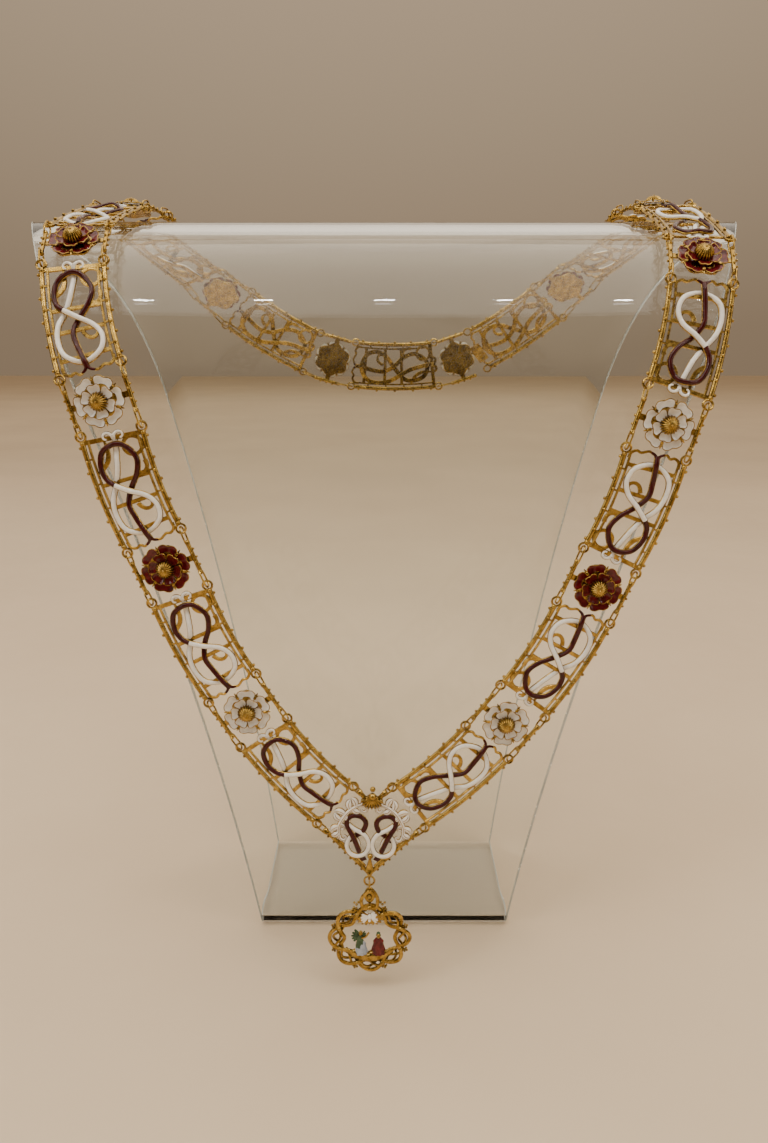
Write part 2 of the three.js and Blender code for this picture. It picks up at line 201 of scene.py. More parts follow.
def sweep(path: Array, profile: Array, up: Array = UP, closed: bool = False,
          scale: Array | float = 1.0) -> Shell:
    """A profile carried along a path: point = path + side * x + lift * y, with side = tangent x up.

    Args:
        path: The points of the path, n by 3.
        profile: The section's points, x across the path and y towards up.
        up: The direction that the section's y keeps to.
        closed: True if the path comes back to its start.
        scale: The section's size at each point of the path.

    Returns:
        The closed skin.
    """
    if closed:
        tangent = np.roll(path, -1, 0) - np.roll(path, 1, 0)
    else:
        tangent = np.gradient(path, axis=0)
    tangent /= np.linalg.norm(tangent, axis=1, keepdims=True)
    side = np.cross(tangent, up)
    side /= np.linalg.norm(side, axis=1, keepdims=True)
    lift = np.cross(side, tangent)
    size = np.broadcast_to(np.asarray(scale, float), len(path))[:, None, None]
    x, y = profile[None, :, :1] * size, profile[None, :, 1:] * size
    return loft(path[:, None] + side[:, None] * x + lift[:, None] * y, closed)


def spline(points: Array, steps: int = 8, closed: bool = False) -> Array:
    """A smooth curve through given points: on each span, the cubic whose ends keep the mean slopes.

    Args:
        points: The points to pass through, n by 3.
        steps: Points on each span.
        closed: True if the curve comes back to its start.

    Returns:
        The points of the curve.
    """
    points = np.asarray(points, float)
    if closed:
        before, after = np.roll(points, 1, 0), np.roll(points, -1, 0)
        starts, ends = points, after
        slope = (after - before) / 2
        next_slope = np.roll(slope, -1, 0)
    else:
        slope = np.gradient(points, axis=0)
        starts, ends, slope, next_slope = points[:-1], points[1:], slope[:-1], slope[1:]
    t = (np.arange(steps) / steps)[None, :, None]
    curve = (
        starts[:, None] * (2 * t**3 - 3 * t**2 + 1)
        + slope[:, None] * (t**3 - 2 * t**2 + t)
        + ends[:, None] * (3 * t**2 - 2 * t**3)
        + next_slope[:, None] * (t**3 - t**2)
    ).reshape(-1, 3)
    return curve if closed else np.concatenate([curve, points[-1:]])


def circle(centre: Sequence[float], radius: float, start: float = 0.0, end: float = 360.0,
           steps: int = 32) -> Array:
    """Points of a circle or an arc of it in the sheet.

    Args:
        centre: Its middle, x, y and height.
        radius: Its radius.
        start: First angle in degrees.
        end: Last angle in degrees; a full turn leaves out the repeated point.
        steps: Number of points.

    Returns:
        The points, steps by 3.
    """
    angle = np.radians(np.linspace(start, end, steps, endpoint=abs(end - start) < 360))
    ring = np.stack([np.cos(angle), np.sin(angle), np.zeros(steps)], -1)
    return np.asarray(centre, float) + radius * ring


def revolve(profile: Sequence[Sequence[float]], around: int = 32, ribs: int = 0,
            depth: float = 0.0) -> Shell:
    """A turned form: radius times 1 - depth (1 - |sin(ribs a / 2)|) at angle a, with grooves between ribs.

    Args:
        profile: Rows of radius and height from the bottom up.
        around: Points round each ring.
        ribs: Number of ribs.
        depth: How deep the grooves are, as a share of the radius.

    Returns:
        The closed form about the z axis.
    """
    rows = np.asarray(profile, float)
    angle = 2 * np.pi * np.arange(around) / around
    groove = 1 - depth * (1 - np.abs(np.sin(ribs * angle / 2))) if ribs else np.ones(around)
    radius = rows[:, :1] * groove[None]
    height = np.broadcast_to(rows[:, 1:], radius.shape)
    return loft(np.stack([radius * np.cos(angle), radius * np.sin(angle), height], -1)[::-1])


def ball() -> Shell:
    """A small sphere of radius 1 with few faces: rings at equal steps of latitude."""
    return spheroid(8, 5)


def spheroid(around: int, rings: int) -> Shell:
    """A sphere of radius 1: (cos a cos b, sin a cos b, sin b) with b between the poles.

    Args:
        around: Points round each ring.
        rings: Number of rings between the poles, the two small end rings included.

    Returns:
        The closed sphere.
    """
    b = np.linspace(-0.46, 0.46, rings) * np.pi
    return revolve(np.stack([np.cos(b), np.sin(b)], -1), around)


def scatter(shell: Shell, centres: Array, size: float | Array) -> Shell:
    """Copies of a shell at many places, worked out as one array.

    Args:
        shell: The shell to repeat.
        centres: The places, n by 3.
        size: The scale of all copies, or one for each axis.

    Returns:
        One shell with all copies.
    """
    centres = np.asarray(centres, float)
    count, length = len(centres), len(shell.points)
    points = (centres[:, None] + shell.points[None] * size).reshape(-1, 3)
    shift = (np.arange(count) * length)[:, None, None]
    quads = (shell.quads[None] + shift).reshape(-1, 4)
    tris = (shell.tris[None] + shift).reshape(-1, 3)
    return Shell(points, quads, tris)


def curl(start: Sequence[float], heading: float, length: float, turn: float, steps: int = 22,
         height: float = 0.4) -> Array:
    """A scroll that winds up tighter: its heading grows with the way along it to the power 1.6.

    Args:
        start: Where it begins, x and y.
        heading: First direction in degrees.
        length: Length along the curve.
        turn: Degrees that it turns through, positive to the left.
        steps: Number of points.
        height: Height off the sheet.

    Returns:
        The points, steps by 3.
    """
    way = np.linspace(0, 1, steps)
    angle = np.radians(heading + turn * way**1.6)
    step = length / (steps - 1)
    x = start[0] + np.concatenate([[0], np.cumsum(np.cos(angle[:-1]) * step)])
    y = start[1] + np.concatenate([[0], np.cumsum(np.sin(angle[:-1]) * step)])
    return np.stack([x, y, np.full(steps, height)], -1)


def taper(count: int, first: float, last: float) -> Array:
    """Section sizes that go evenly from one to another.

    Args:
        count: Number of sizes.
        first: The size at the start.
        last: The size at the end.

    Returns:
        The sizes.
    """
    return np.linspace(first, last, count)


# Finishes


class NodeSheet:
    """A material's node tree with a principled shader."""

    def __init__(self, name: str) -> None:
        """Makes the material.

        Args:
            name: The material's name.
        """
        self.material = bpy.data.materials.new(name)
        self.material.use_nodes = True
        self.nodes = self.material.node_tree.nodes
        self.links = self.material.node_tree.links
        self.shader = self.nodes["Principled BSDF"]
        self.place = self.nodes.new("ShaderNodeTexCoord").outputs["Object"]

    def set(self, **values: object) -> None:
        """Sets constant values on the shader's own sockets, with _ for a space in their names."""
        for key, value in values.items():
            self.shader.inputs[key.replace("_", " ")].default_value = value

    def noise(self, scale: float, detail: float = 4.0) -> bpy.types.NodeSocket:
        """A noise pattern on the piece's own place.

        Args:
            scale: Cells in a metre.
            detail: Octaves.

        Returns:
            The noise's value.
        """
        node = self.nodes.new("ShaderNodeTexNoise")
        node.inputs["Scale"].default_value = scale
        node.inputs["Detail"].default_value = detail
        self.links.new(self.place, node.inputs["Vector"])
        return node.outputs["Fac"]

    def ramp(self, value: bpy.types.NodeSocket, stops: Sequence[tuple[float, Sequence[float]]]
             ) -> bpy.types.NodeSocket:
        """Colours by a value.

        Args:
            value: The socket to read.
            stops: Pairs of position and linear colour.

        Returns:
            The colour.
        """
        node = self.nodes.new("ShaderNodeValToRGB")
        elements = node.color_ramp.elements
        while len(elements) < len(stops):
            elements.new(0.5)
        for element, (position, colour) in zip(elements, stops):
            element.position = position
            element.color = (*colour, 1.0)
        self.links.new(value, node.inputs["Fac"])
        return node.outputs["Color"]

    def spread(self, value: bpy.types.NodeSocket, low: float, high: float) -> bpy.types.NodeSocket:
        """Stretches a value's middle range to a new range.

        Args:
            value: The socket to read.
            low: Result where the value is 0.3.
            high: Result where it is 0.7.

        Returns:
            The new value.
        """
        node = self.nodes.new("ShaderNodeMapRange")
        for key, number in zip(("From Min", "From Max", "To Min", "To Max"), (0.3, 0.7, low, high)):
            node.inputs[key].default_value = number
        self.links.new(value, node.inputs["Value"])
        return node.outputs["Result"]

    def shade_hollows(self, colour: bpy.types.NodeSocket, dark: Sequence[float], reach: float
                      ) -> bpy.types.NodeSocket:
        """Paints shade into a colour where walls stand close: the hollows darken as if little light reached
        them.

        Args:
            colour: The open surface's colour.
            dark: The linear colour of the painted shade in the hollows.
            reach: How near a wall has to be, in metres.

        Returns:
            The mixed colour.
        """
        # Painted shade: an ambient occlusion mask mixes the dark colour in where walls stand close.
        hollow_shade = self.nodes.new("ShaderNodeAmbientOcclusion")
        hollow_shade.samples = HOLLOW_SAMPLES
        hollow_shade.only_local = True
        hollow_shade.inputs["Distance"].default_value = reach
        mix = self.nodes.new("ShaderNodeMix")
        mix.data_type = "RGBA"
        mix.inputs[MIX_DARK].default_value = (*dark, 1.0)
        self.links.new(hollow_shade.outputs["AO"], mix.inputs[0])
        self.links.new(colour, mix.inputs[MIX_OPEN])
        return mix.outputs[MIX_COLOUR]

    def bump(self, value: bpy.types.NodeSocket, strength: float, distance: float) -> None:
        """Raises the surface by a value.

        Args:
            value: The socket to read.
            strength: Share of the bump that shows.
            distance: Its height in metres.
        """
        node = self.nodes.new("ShaderNodeBump")
        node.inputs["Strength"].default_value = strength
        node.inputs["Distance"].default_value = distance
        self.links.new(value, node.inputs["Height"])
        self.links.new(node.outputs["Normal"], self.shader.inputs["Normal"])

    def feed(self, key: str, value: bpy.types.NodeSocket) -> None:
        """Links a value to one of the shader's sockets."""
        self.links.new(value, self.shader.inputs[key])


@dataclass(frozen=True)
class GiltMetal:
    """Gilt metal: its own bright and worn colour on what stands proud, painted brown shade in the hollows,
    with a cast grain.
    """

    name: str = "gilt_metal"
    bright: tuple[float, float, float] = (0.54, 0.36, 0.092)
    worn: tuple[float, float, float] = (0.24, 0.143, 0.033)
    # The colour of the painted shade in the hollows.
    hollow_shade: tuple[float, float, float] = (0.03, 0.013, 0.004)
    smooth: float = 0.18
    rough: float = 0.36

    def material(self) -> bpy.types.Material:
        """Builds the material.

        Returns:
            The new material.
        """
        sheet = NodeSheet(self.name)
        patches = sheet.noise(260.0)
        colour = sheet.ramp(patches, [(0.34, self.worn), (0.66, self.bright)])
        # Painted shade: ambient occlusion darkens the hollows to the hollow colour.
        sheet.feed("Base Color", sheet.shade_hollows(colour, self.hollow_shade, 0.003))
        sheet.feed("Roughness", sheet.spread(sheet.noise(700.0), self.smooth, self.rough))
        sheet.set(Metallic=1.0)
        sheet.bump(sheet.noise(1500.0, 3.0), 0.22, 0.00018)
        return sheet.material


@dataclass(frozen=True)
class Enamel:
    """Fired enamel: a glassy coat over a colour that is a little cloudy, with painted shade darkening it
    along its edges where walls stand close.
    """

    name: str
    light: tuple[float, float, float]
    cloud: tuple[float, float, float]
    # The colour of the painted shade along the enamel's edges, laid where walls stand close.
    edge: tuple[float, float, float]
    glaze: float = 0.35
    bend: float = 1.45

    def material(self) -> bpy.types.Material:
        """Builds the material.

        Returns:
            The new material.
        """
        sheet = NodeSheet(self.name)
        colour = sheet.ramp(sheet.noise(420.0), [(0.35, self.cloud), (0.6, self.light)])
        # Painted shade: ambient occlusion darkens the enamel to its edge colour next to the gilt walls.
        sheet.feed("Base Color", sheet.shade_hollows(colour, self.edge, 0.0007))
        sheet.feed("Roughness", sheet.spread(sheet.noise(900.0), 0.14, 0.26))
        sheet.set(Coat_Weight=self.glaze, Coat_Roughness=0.05, IOR=self.bend)
        sheet.bump(sheet.noise(380.0, 2.0), 0.12, 0.0003)
        return sheet.material


@dataclass(frozen=True)
class ClearSheet:
    """Clear acrylic with a polished face."""

    name: str = "clear_acrylic"
    tint: tuple[float, float, float] = (0.965, 0.985, 0.98)

    def material(self) -> bpy.types.Material:
        """Builds the material.

        Returns:
            The new material.
        """
        sheet = NodeSheet(self.name)
        deeper = tuple(0.985 * part for part in self.tint)
        sheet.feed("Base Color", sheet.ramp(sheet.noise(9.0, 2.0), [(0.3, deeper), (0.7, self.tint)]))
        sheet.feed("Roughness", sheet.spread(sheet.noise(30.0), 0.006, 0.03))
        sheet.set(Transmission_Weight=1.0, IOR=1.33)
        sheet.bump(sheet.noise(11.0, 1.0), 0.04, 0.0006)
        return sheet.material


@dataclass(frozen=True)
class SawnEdge:
    """The sheet's cut edge: paler than its faces, half clear and a little rough from the saw."""

    name: str = "acrylic_edge"
    light: tuple[float, float, float] = (0.80, 0.83, 0.80)
    shade: tuple[float, float, float] = (0.66, 0.70, 0.67)

    def material(self) -> bpy.types.Material:
        """Builds the material.

        Returns:
            The new material.
        """
        sheet = NodeSheet(self.name)
        sheet.feed("Base Color", sheet.ramp(sheet.noise(120.0), [(0.35, self.shade), (0.65, self.light)]))
        sheet.feed("Roughness", sheet.spread(sheet.noise(400.0), 0.12, 0.3))
        sheet.set(Transmission_Weight=0.45, IOR=1.33)
        sheet.bump(sheet.noise(900.0, 2.0), 0.08, 0.0002)
        return sheet.material


@dataclass(frozen=True)
class PaleFloor:
    """A matt cream floor."""

    name: str = "pale_floor"
    light: tuple[float, float, float] = (0.72, 0.575, 0.40)
    shade: tuple[float, float, float] = (0.66, 0.52, 0.36)

    def material(self) -> bpy.types.Material:
        """Builds the material.

        Returns:
            The new material.
        """
        sheet = NodeSheet(self.name)
        sheet.feed("Base Color", sheet.ramp(sheet.noise(3.0), [(0.3, self.shade), (0.7, self.light)]))
        sheet.feed("Roughness", sheet.spread(sheet.noise(40.0), 0.6, 0.75))
        return sheet.material


@dataclass
class Palette:
    """The finishes that the pieces share."""

    gold: bpy.types.Material
    white: bpy.types.Material
    red: bpy.types.Material
    rose_red: bpy.types.Material
    green: bpy.types.Material
    sky: bpy.types.Material
    acrylic: bpy.types.Material
    edge: bpy.types.Material


def mix_palette() -> Palette:
    """Makes all finishes.

    Returns:
        The palette.
    """
    # The third colour of each enamel is its painted shade along the edges, where walls stand close.
    white = Enamel("white_enamel", (0.93, 0.91, 0.86), (0.86, 0.83, 0.77), (0.40, 0.31, 0.21))
    red = Enamel("dark_red_enamel", (0.058, 0.004, 0.004), (0.032, 0.002, 0.002), (0.006, 0.001, 0.001),
                 glaze=0.12, bend=1.33)
    rose = Enamel("rose_red_enamel", (0.15, 0.009, 0.012), (0.075, 0.004, 0.006), (0.012, 0.001, 0.002),
                  glaze=0.25, bend=1.38)
    green = Enamel("green_enamel", (0.05, 0.11, 0.045), (0.025, 0.06, 0.025), (0.008, 0.016, 0.007))
    sky = Enamel("grey_blue_enamel", (0.42, 0.47, 0.55), (0.30, 0.34, 0.42), (0.10, 0.10, 0.10))
    return Palette(
        gold=GiltMetal().material(),
        white=white.material(),
        red=red.material(),
        rose_red=rose.material(),
        green=green.material(),
        sky=sky.material(),
        acrylic=ClearSheet().material(),
        edge=SawnEdge().material(),
    )


def add_piece(name: str, shells: Sequence[Shell], material: bpy.types.Material, body: Body,
              node: str) -> bpy.types.Object:
    """Makes a piece of the object from shells that are already in the row's frame, in metres.

    Args:
        name: The piece's name.
        shells: Its surfaces.
        material: Its finish.
        body: The body it rides on.
        node: The solid it stands for.

    Returns:
        The new object.
    """
    whole = join(shells)
    mesh = bpy.data.meshes.new(name)
    loops = np.concatenate([whole.quads.ravel(), whole.tris.ravel()]).astype(np.int32)
    fours, threes = len(whole.quads), len(whole.tris)
    starts = np.concatenate([4 * np.arange(fours), 4 * fours + 3 * np.arange(threes)]).astype(np.int32)
    mesh.vertices.add(len(whole.points))
    mesh.vertices.foreach_set("co", whole.points.astype(np.float32).ravel())
    mesh.loops.add(len(loops))
    mesh.loops.foreach_set("vertex_index", loops)
    mesh.polygons.add(fours + threes)
    mesh.polygons.foreach_set("loop_start", starts)
    mesh.update(calc_edges=True)
    mesh.validate()
    mesh.shade_smooth()
    mesh.set_sharp_from_angle(angle=math.radians(SHARP_ANGLE))
    mesh.materials.append(material)
    piece = bpy.data.objects.new(name, mesh)
    bpy.context.scene.collection.objects.link(piece)
    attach(piece, body.value)
    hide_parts(node)
    LOG.info("%s: %d triangles", name, 2 * fours + threes)
    return piece


# The run of the links round the loop


@dataclass(frozen=True)
class StrandRow:
    """One link's place on a strand, going up from the centre link, in degrees."""

    kind: LinkKind
    lean: float
    skew: float
    bend: float
    slip: float


@dataclass
class Link:
    """A link's frame: rows of axes are along the strand, out of the loop and off the sheet."""

    kind: LinkKind
    axes: Array
    centre: Array

    def carry(self, shells: Sequence[Shell]) -> list[Shell]:
        """Takes shells from the link's drawing to the row's frame.

        Args:
            shells: Shells in the link's own millimetres.

        Returns:
            Shells in metres.
        """
        return [shell.moved(self.axes * MM, self.centre * MM) for shell in shells]

    def look_at(self, place: Array) -> Array:
        """A place of the row's frame as this link sees it, both in millimetres."""
        return (place - self.centre) @ self.axes.T


P, R = LinkKind.PLATE, LinkKind.ROSE
STRAND = (
    StrandRow(P, -44, 3, 0, 0), StrandRow(R, -34, 3, 0, 0),
    StrandRow(P, -28, 2.5, 0, 0), StrandRow(R, -22, 0.5, 0, 0),
    StrandRow(P, -18.5, 1, 0, 0), StrandRow(R, -15.5, 0.5, 0, 0),
    StrandRow(P, -12.5, 0.5, 21.5, 3), StrandRow(R, -6, 1, 45.5, 3),
    StrandRow(P, 3.5, 1.5, 70, 3), StrandRow(R, 13.5, 1.5, 95.5, 2.5),
    StrandRow(P, 24.5, 1.5, 120.5, 2.5), StrandRow(R, 38.5, 2.5, 144.5, 2.5),
    StrandRow(P, 55, 2, 164.5, 2), StrandRow(R, 72.5, 1.5, 180, 0),
)


@dataclass(frozen=True)
class Layout:
    """Sizes of the loop and the walk that places its links."""

    plate_length: float = 56.25
    plate_radius: float = 225.0
    rose_length: float = 18.5
    joint_gap: float = 5.5
    rail_spacing: float = 30.0
    tip: tuple[float, float] = (-8.0, 77.0)
    tilt: float = 2.0
    outer: tuple[float, float] = (24.5, 25.8)
    inner: tuple[float, float] = (6.7, 49.5)
    lean: float = -53.0
    front: float = -99.3
    shift: float = 4.85317

    def on_arc(self, points: Sequence[Sequence[float]]) -> Array:
        """Bends a plate's drawing round its ring: (r sin a, r cos a - radius) with a = along / radius.

        Args:
            points: Rows of along, across and perhaps height.

        Returns:
            Rows with the first two columns bent.
        """
        rows = np.array(points, float)
        angle = rows[:, 0] / self.plate_radius
        reach = self.plate_radius + rows[:, 1]
        rows[:, 0], rows[:, 1] = reach * np.sin(angle), reach * np.cos(angle) - self.plate_radius
        return rows

    def end(self) -> Array:
        """The middle of a plate's end, from the plate's middle."""
        return self.on_arc([(self.plate_length / 2, 0.0)])[0]

    def sheet_axes(self, lean: float, bend: float, side: int) -> Array:
        """Unit directions of a link: up the strand, out of the loop, off the sheet.

        Args:
            lean: Turn in the sheet, in degrees.
            bend: Way over the crest, in degrees.
            side: -1 for the left strand, 1 for the right one.

        Returns:
            The three directions as rows.
        """
        a, b = math.radians(lean), math.radians(bend)
        up = np.array([0.0, math.sin(b), math.cos(b)])
        inwards = np.array([-side, 0.0, 0.0])
        return np.stack([
            up * math.cos(a) + inwards * math.sin(a),
            up * math.sin(a) - inwards * math.cos(a),
            np.array([0.0, -math.cos(b), math.sin(b)]),
        ])

    def centre_axes(self) -> Array:
        """The centre link's directions."""
        t = math.radians(self.tilt)
        return np.array([[math.cos(t), 0, -math.sin(t)], [math.sin(t), 0, math.cos(t)], [0, -1, 0]])

    def centre_point(self, x: float, y: float) -> Array:
        """A point of the centre link's drawing, before the whole is centred."""
        origin = np.array([self.tip[0], self.front, self.tip[1]])
        return origin + np.array([x, y, 0.0]) @ self.centre_axes()

    def walk(self, side: int) -> tuple[list[Link], Array]:
        """Places a strand's links, each a joint's gap after the one before.

        Args:
            side: -1 for the left strand, 1 for the right one.

        Returns:
            The links and the point where the back plate's end comes.
        """
        end = (self.centre_point(side * self.outer[0], self.outer[1])
               + self.centre_point(side * self.inner[0], self.inner[1])) / 2
        last = (self.lean - side * self.tilt, 0.0)
        links = []
        for row in STRAND:
            now = (row.lean - side * row.skew, row.bend - side * row.slip)
            axes = self.sheet_axes(*now, side)
            between = self.sheet_axes((last[0] + now[0]) / 2, (last[1] + now[1]) / 2, side)
            end = end + self.joint_gap * between[0]
            half = self.end() if row.kind is P else np.array([self.rose_length / 2, 0.0])
            links.append(Link(row.kind, axes, end + axes[0] * half[0] - axes[1] * half[1]))
            end = end + axes[0] * 2 * half[0]
            last = now
        between = self.sheet_axes((last[0] + 90) / 2, (last[1] + 180) / 2, side)
        return links, end + self.joint_gap * between[0]

    def loop(self) -> list[Link]:
        """Places all links.

        Returns:
            Centre link, left strand, back plate and right strand, in the order of the loop.
        """
        left, left_end = self.walk(-1)
        right, right_end = self.walk(1)
        opening = right_end - left_end
        opening[0] -= 2 * self.end()[0]
        for count, (one, other) in enumerate(zip(left, right), 1):
            one.centre = one.centre + opening * 0.5 * count / (len(STRAND) + 1)
            other.centre = other.centre - opening * 0.5 * count / (len(STRAND) + 1)
            other.axes = other.axes * np.array([[-1], [1], [1]])
        back = self.sheet_axes(90, 180, -1)
        middle = (left_end + right_end) / 2 - back[1] * self.end()[1]
        links = [Link(LinkKind.CENTRE, self.centre_axes(), self.centre_point(0, 0)), *left,
                 Link(P, back, middle), *right[::-1]]
        for link in links:
            link.centre = link.centre + np.array([0.0, self.shift, 0.0])
        return links

    def eyes(self, plate: Link, end: int) -> Array:
        """The two eyes at one end of a plate in the row's frame, outer rail first.

        Args:
            plate: The plate.
            end: 1 for the end along its axis, -1 for the other.

        Returns:
            Two points.
        """
        half, rail = end * self.plate_length / 2, self.rail_spacing / 2
        places = self.on_arc([(half, rail, 0.0), (half, -rail, 0.0)])
        return places @ plate.axes + plate.centre


LAYOUT = Layout()


# Links


@dataclass
class JumpRing:
    """A wire ring from a link's rail end to the eye of the next plate."""

    wire: float = 0.5
    height: float = 3.2
    slack: float = 0.8

    def build(self, start: Array, eye: Array, eye_normal: Array) -> Shell:
        """A squared oval: way * sign(cos) |cos|^0.5 and across * sin, about the middle.

        Args:
            start: The rail's end in the link's drawing.
            eye: The neighbour's eye there.
            eye_normal: The neighbour's direction off the sheet there.

        Returns:
            The ring.
        """
        way = (eye - start) / np.linalg.norm(eye - start)
        far = eye + way * self.slack
        across = eye_normal + UP
        across = across - way * (across @ way)
        across /= np.linalg.norm(across)
        angle = 2 * np.pi * np.arange(28) / 28
        along = np.sign(np.cos(angle)) * np.abs(np.cos(angle)) ** 0.5
        path = ((start + far) / 2 + np.outer(along, way) * np.linalg.norm(far - start) / 2
                + np.outer(np.sin(angle), across) * self.height)
        return sweep(path, round_profile(self.wire, self.wire, 8), np.cross(way, across), True)


CORD_OVER, CORD_UNDER, CORD_LEVEL = 1.8, -1.0, 0.4
RED_CORD = (
    (-27, 0.8, 0.6), (-22.6, 1.2, CORD_OVER), (-14, 2.9, CORD_LEVEL), (-7.5, 3.2, CORD_LEVEL),
    (-1, 0, CORD_UNDER), (6, -6.2, CORD_LEVEL), (13.5, -8.4, CORD_LEVEL), (20.4, -4.6, CORD_LEVEL),
    (22.2, 0.4, CORD_OVER), (19.4, 7, CORD_LEVEL), (13, 9.6, CORD_LEVEL), (7.2, 9, CORD_LEVEL),
    (3.4, 5.8, CORD_OVER),
)
WHITE_CORD = (
    (3.4, 5.8, CORD_OVER), (-1, 0, CORD_OVER), (-6, -6.8, CORD_LEVEL), (-12.5, -9.8, CORD_LEVEL),
    (-19.5, -7.4, CORD_LEVEL), (-22.6, 1.2, CORD_UNDER), (-18.6, 9, CORD_LEVEL),
    (-11.5, 11.2, CORD_LEVEL), (-3.5, 9.8, CORD_LEVEL), (3.4, 5.8, CORD_UNDER),
    (11, 2, CORD_LEVEL), (22.2, -0.3, CORD_UNDER), (26.4, -0.3, 0.2),
)


@dataclass
class KnotPlate:
    """A pierced plate: two curved rails, rungs between them and a knotted cord in two colours."""

    layout: Layout
    rail_half: float = 1.3
    rail_height: float = 1.0
    border_inset: float = 2.9
    eye_radius: float = 2.35
    eye_wire: float = 0.6
    bead: float = 0.88
    bead_pitch: float = 11.6
    rung_half: float = 1.0
    rungs: tuple[float, ...] = (4.5, -6.7, -20.2)
    end_bar: float = 25.2
    cord_half: float = 1.2
    red: list[Shell] = field(default_factory=list)
    white: list[Shell] = field(default_factory=list)
    gold: list[Shell] = field(default_factory=list)

    def bent(self, points: Sequence[Sequence[float]], steps: int = 8) -> Array:
        """A smooth curve through points of the flat drawing, bent with the plate."""
        return self.layout.on_arc(spline(np.asarray(points, float), steps))

    def add_rails(self) -> None:
        """Two round rails, thin inner borders tied to them by studs, beads and the four end eyes."""
        half, rail = self.layout.plate_length / 2, self.layout.rail_spacing / 2
        run = np.linspace(-half + 1.9, half - 1.9, 40)
        inner_run = np.linspace(-half + 3.4, half - 2.4, 32)
        stud_run = self.bead_pitch * np.arange(-2, 3)
        for side in (-1, 1):
            line = np.column_stack([run, np.full(40, side * rail), np.zeros(40)])
            self.gold.append(sweep(self.layout.on_arc(line), round_profile(self.rail_half, self.rail_height)))
            border = side * (rail - self.border_inset)
            line = np.column_stack([inner_run, np.full(32, border), np.full(32, 0.1)])
            self.gold.append(sweep(self.layout.on_arc(line), bar_profile(0.55, 0.6)))
            for at in stud_run[:-1] + self.bead_pitch / 2:
                tie = self.layout.on_arc([(at, border, 0.1), (at, side * (rail - 0.6), 0.1)])
                self.gold.append(sweep(tie, bar_profile(0.5, 0.45)))
            outside = np.column_stack([stud_run, np.full(5, side * (rail + 1.6)), np.zeros(5)])
            top_run = stud_run + 0.45 * self.bead_pitch
            on_top = np.column_stack([top_run, np.full(5, side * rail), np.full(5, 1.2)])
            beads = np.concatenate([outside, on_top[:-1]])
            self.gold.append(scatter(ball(), self.layout.on_arc(beads), self.bead))
            for end in (-1, 1):
                eye = self.layout.on_arc([(end * half, side * rail, 0.0)])[0]
                loop = circle(eye, self.eye_radius, steps=24)
                self.gold.append(sweep(loop, round_profile(self.eye_wire, 0.75, 8), closed=True))
                collar = self.layout.on_arc([(end * (half - 3.2), side * rail, 0.2)])
                self.gold.append(scatter(ball(), collar, np.array([1.3, 1.5, 1.2])))

    def add_rungs(self) -> None:
        """Plain rungs, the straight bar at one end and the double-curved bracket at the other."""
        reach = self.layout.rail_spacing / 2 - self.border_inset
        for at in (*self.rungs, self.end_bar):
            wide = 1.15 if at == self.end_bar else 1.0
            far = self.layout.rail_spacing / 2 if at == self.end_bar else reach
            line = np.column_stack([np.full(9, at), np.linspace(-far, far, 9), np.full(9, -0.1)])
            self.gold.append(sweep(self.layout.on_arc(line), bar_profile(wide * self.rung_half, 0.6)))
        for side in (-1, 1):
            bracket = [(-27.6, 0.8 + side * 2, 0), (-28.6, 0.8 + side * 4.4, 0), (-27.2, side * 7.2, 0),
                       (-27.8, side * 9.6, 0), (-26.2, side * 12, 0), (-23.4, side * 12.4, 0)]
            path = self.bent(bracket)
            self.gold.append(sweep(path, bar_profile(0.7, 0.6), scale=taper(len(path), 0.8, 1.1)))

    def add_scrolls(self) -> None:
        """A ring and a crescent that hold the red loop, and two small plain scrolls."""
        ring = self.layout.on_arc(circle((19.8, -8.4, -0.3), 4.6, steps=36))
        self.gold.append(sweep(ring, bar_profile(0.9, 0.6), closed=True))
        crescent = [(10.4, 12.2, -0.2), (12, 8.6, -0.2), (15.2, 5.4, -0.3), (19.6, 4.2, -0.4),
                    (24.4, 4.6, -0.3)]
        path = self.bent(crescent)
        swell = 0.55 + 0.65 * np.sin(np.pi * np.linspace(0, 1, len(path)))
        self.gold.append(sweep(path, bar_profile(0.95, 0.6), scale=swell))
        for start, heading, turn in (((11.5, -12.0), 190.0, -250.0), ((-8.0, -1.2), 200.0, 230.0)):
            scroll = self.layout.on_arc(curl(start, heading, 12.5, turn, height=0.0))
            self.gold.append(sweep(scroll, bar_profile(0.95, 0.6), scale=taper(len(scroll), 1.15, 0.7)))
            self.gold.append(scatter(ball(), scroll[-1:], 0.85))

    def add_cord(self) -> None:
        """The knotted cord: an enamelled round in a gilt tray, with its forked foot and curled head."""
        for points, shells in ((RED_CORD, self.red), (WHITE_CORD, self.white)):
            path = self.bent(points)
            shells.append(sweep(path, round_profile(self.cord_half, 1.05, 10, 0.3)))
            self.gold.append(sweep(path, bar_profile(self.cord_half + 0.22, 0.5, -0.35)))
        for side in (-1, 1):
            fork = self.bent([(-25.6, 0.9, 0.9), (-27.4, 0.9 + side * 1.3, 0.5),
                              (-28.4, 0.8 + side * 3.2, 0.3)])
            self.red.append(sweep(fork, round_profile(0.85, 0.8, 8), scale=taper(len(fork), 1.1, 0.7)))
            head = curl((26.2, -0.3 + side * 0.3), 40.0 * side, 8.4, side * 250.0, height=0.3)
            head = self.layout.on_arc(head)
            count = len(head)
            self.white.append(sweep(head, round_profile(0.8, 0.75, 8, 0.15), scale=taper(count, 1.0, 0.6)))
            self.gold.append(sweep(head, bar_profile(1.0, 0.35, -0.35), scale=taper(count, 1.0, 0.7)))

    def build(self) -> None:
        """Works out the plate once, for all its places in the loop."""
        self.add_rails()
        self.add_rungs()
        self.add_scrolls()
        self.add_cord()

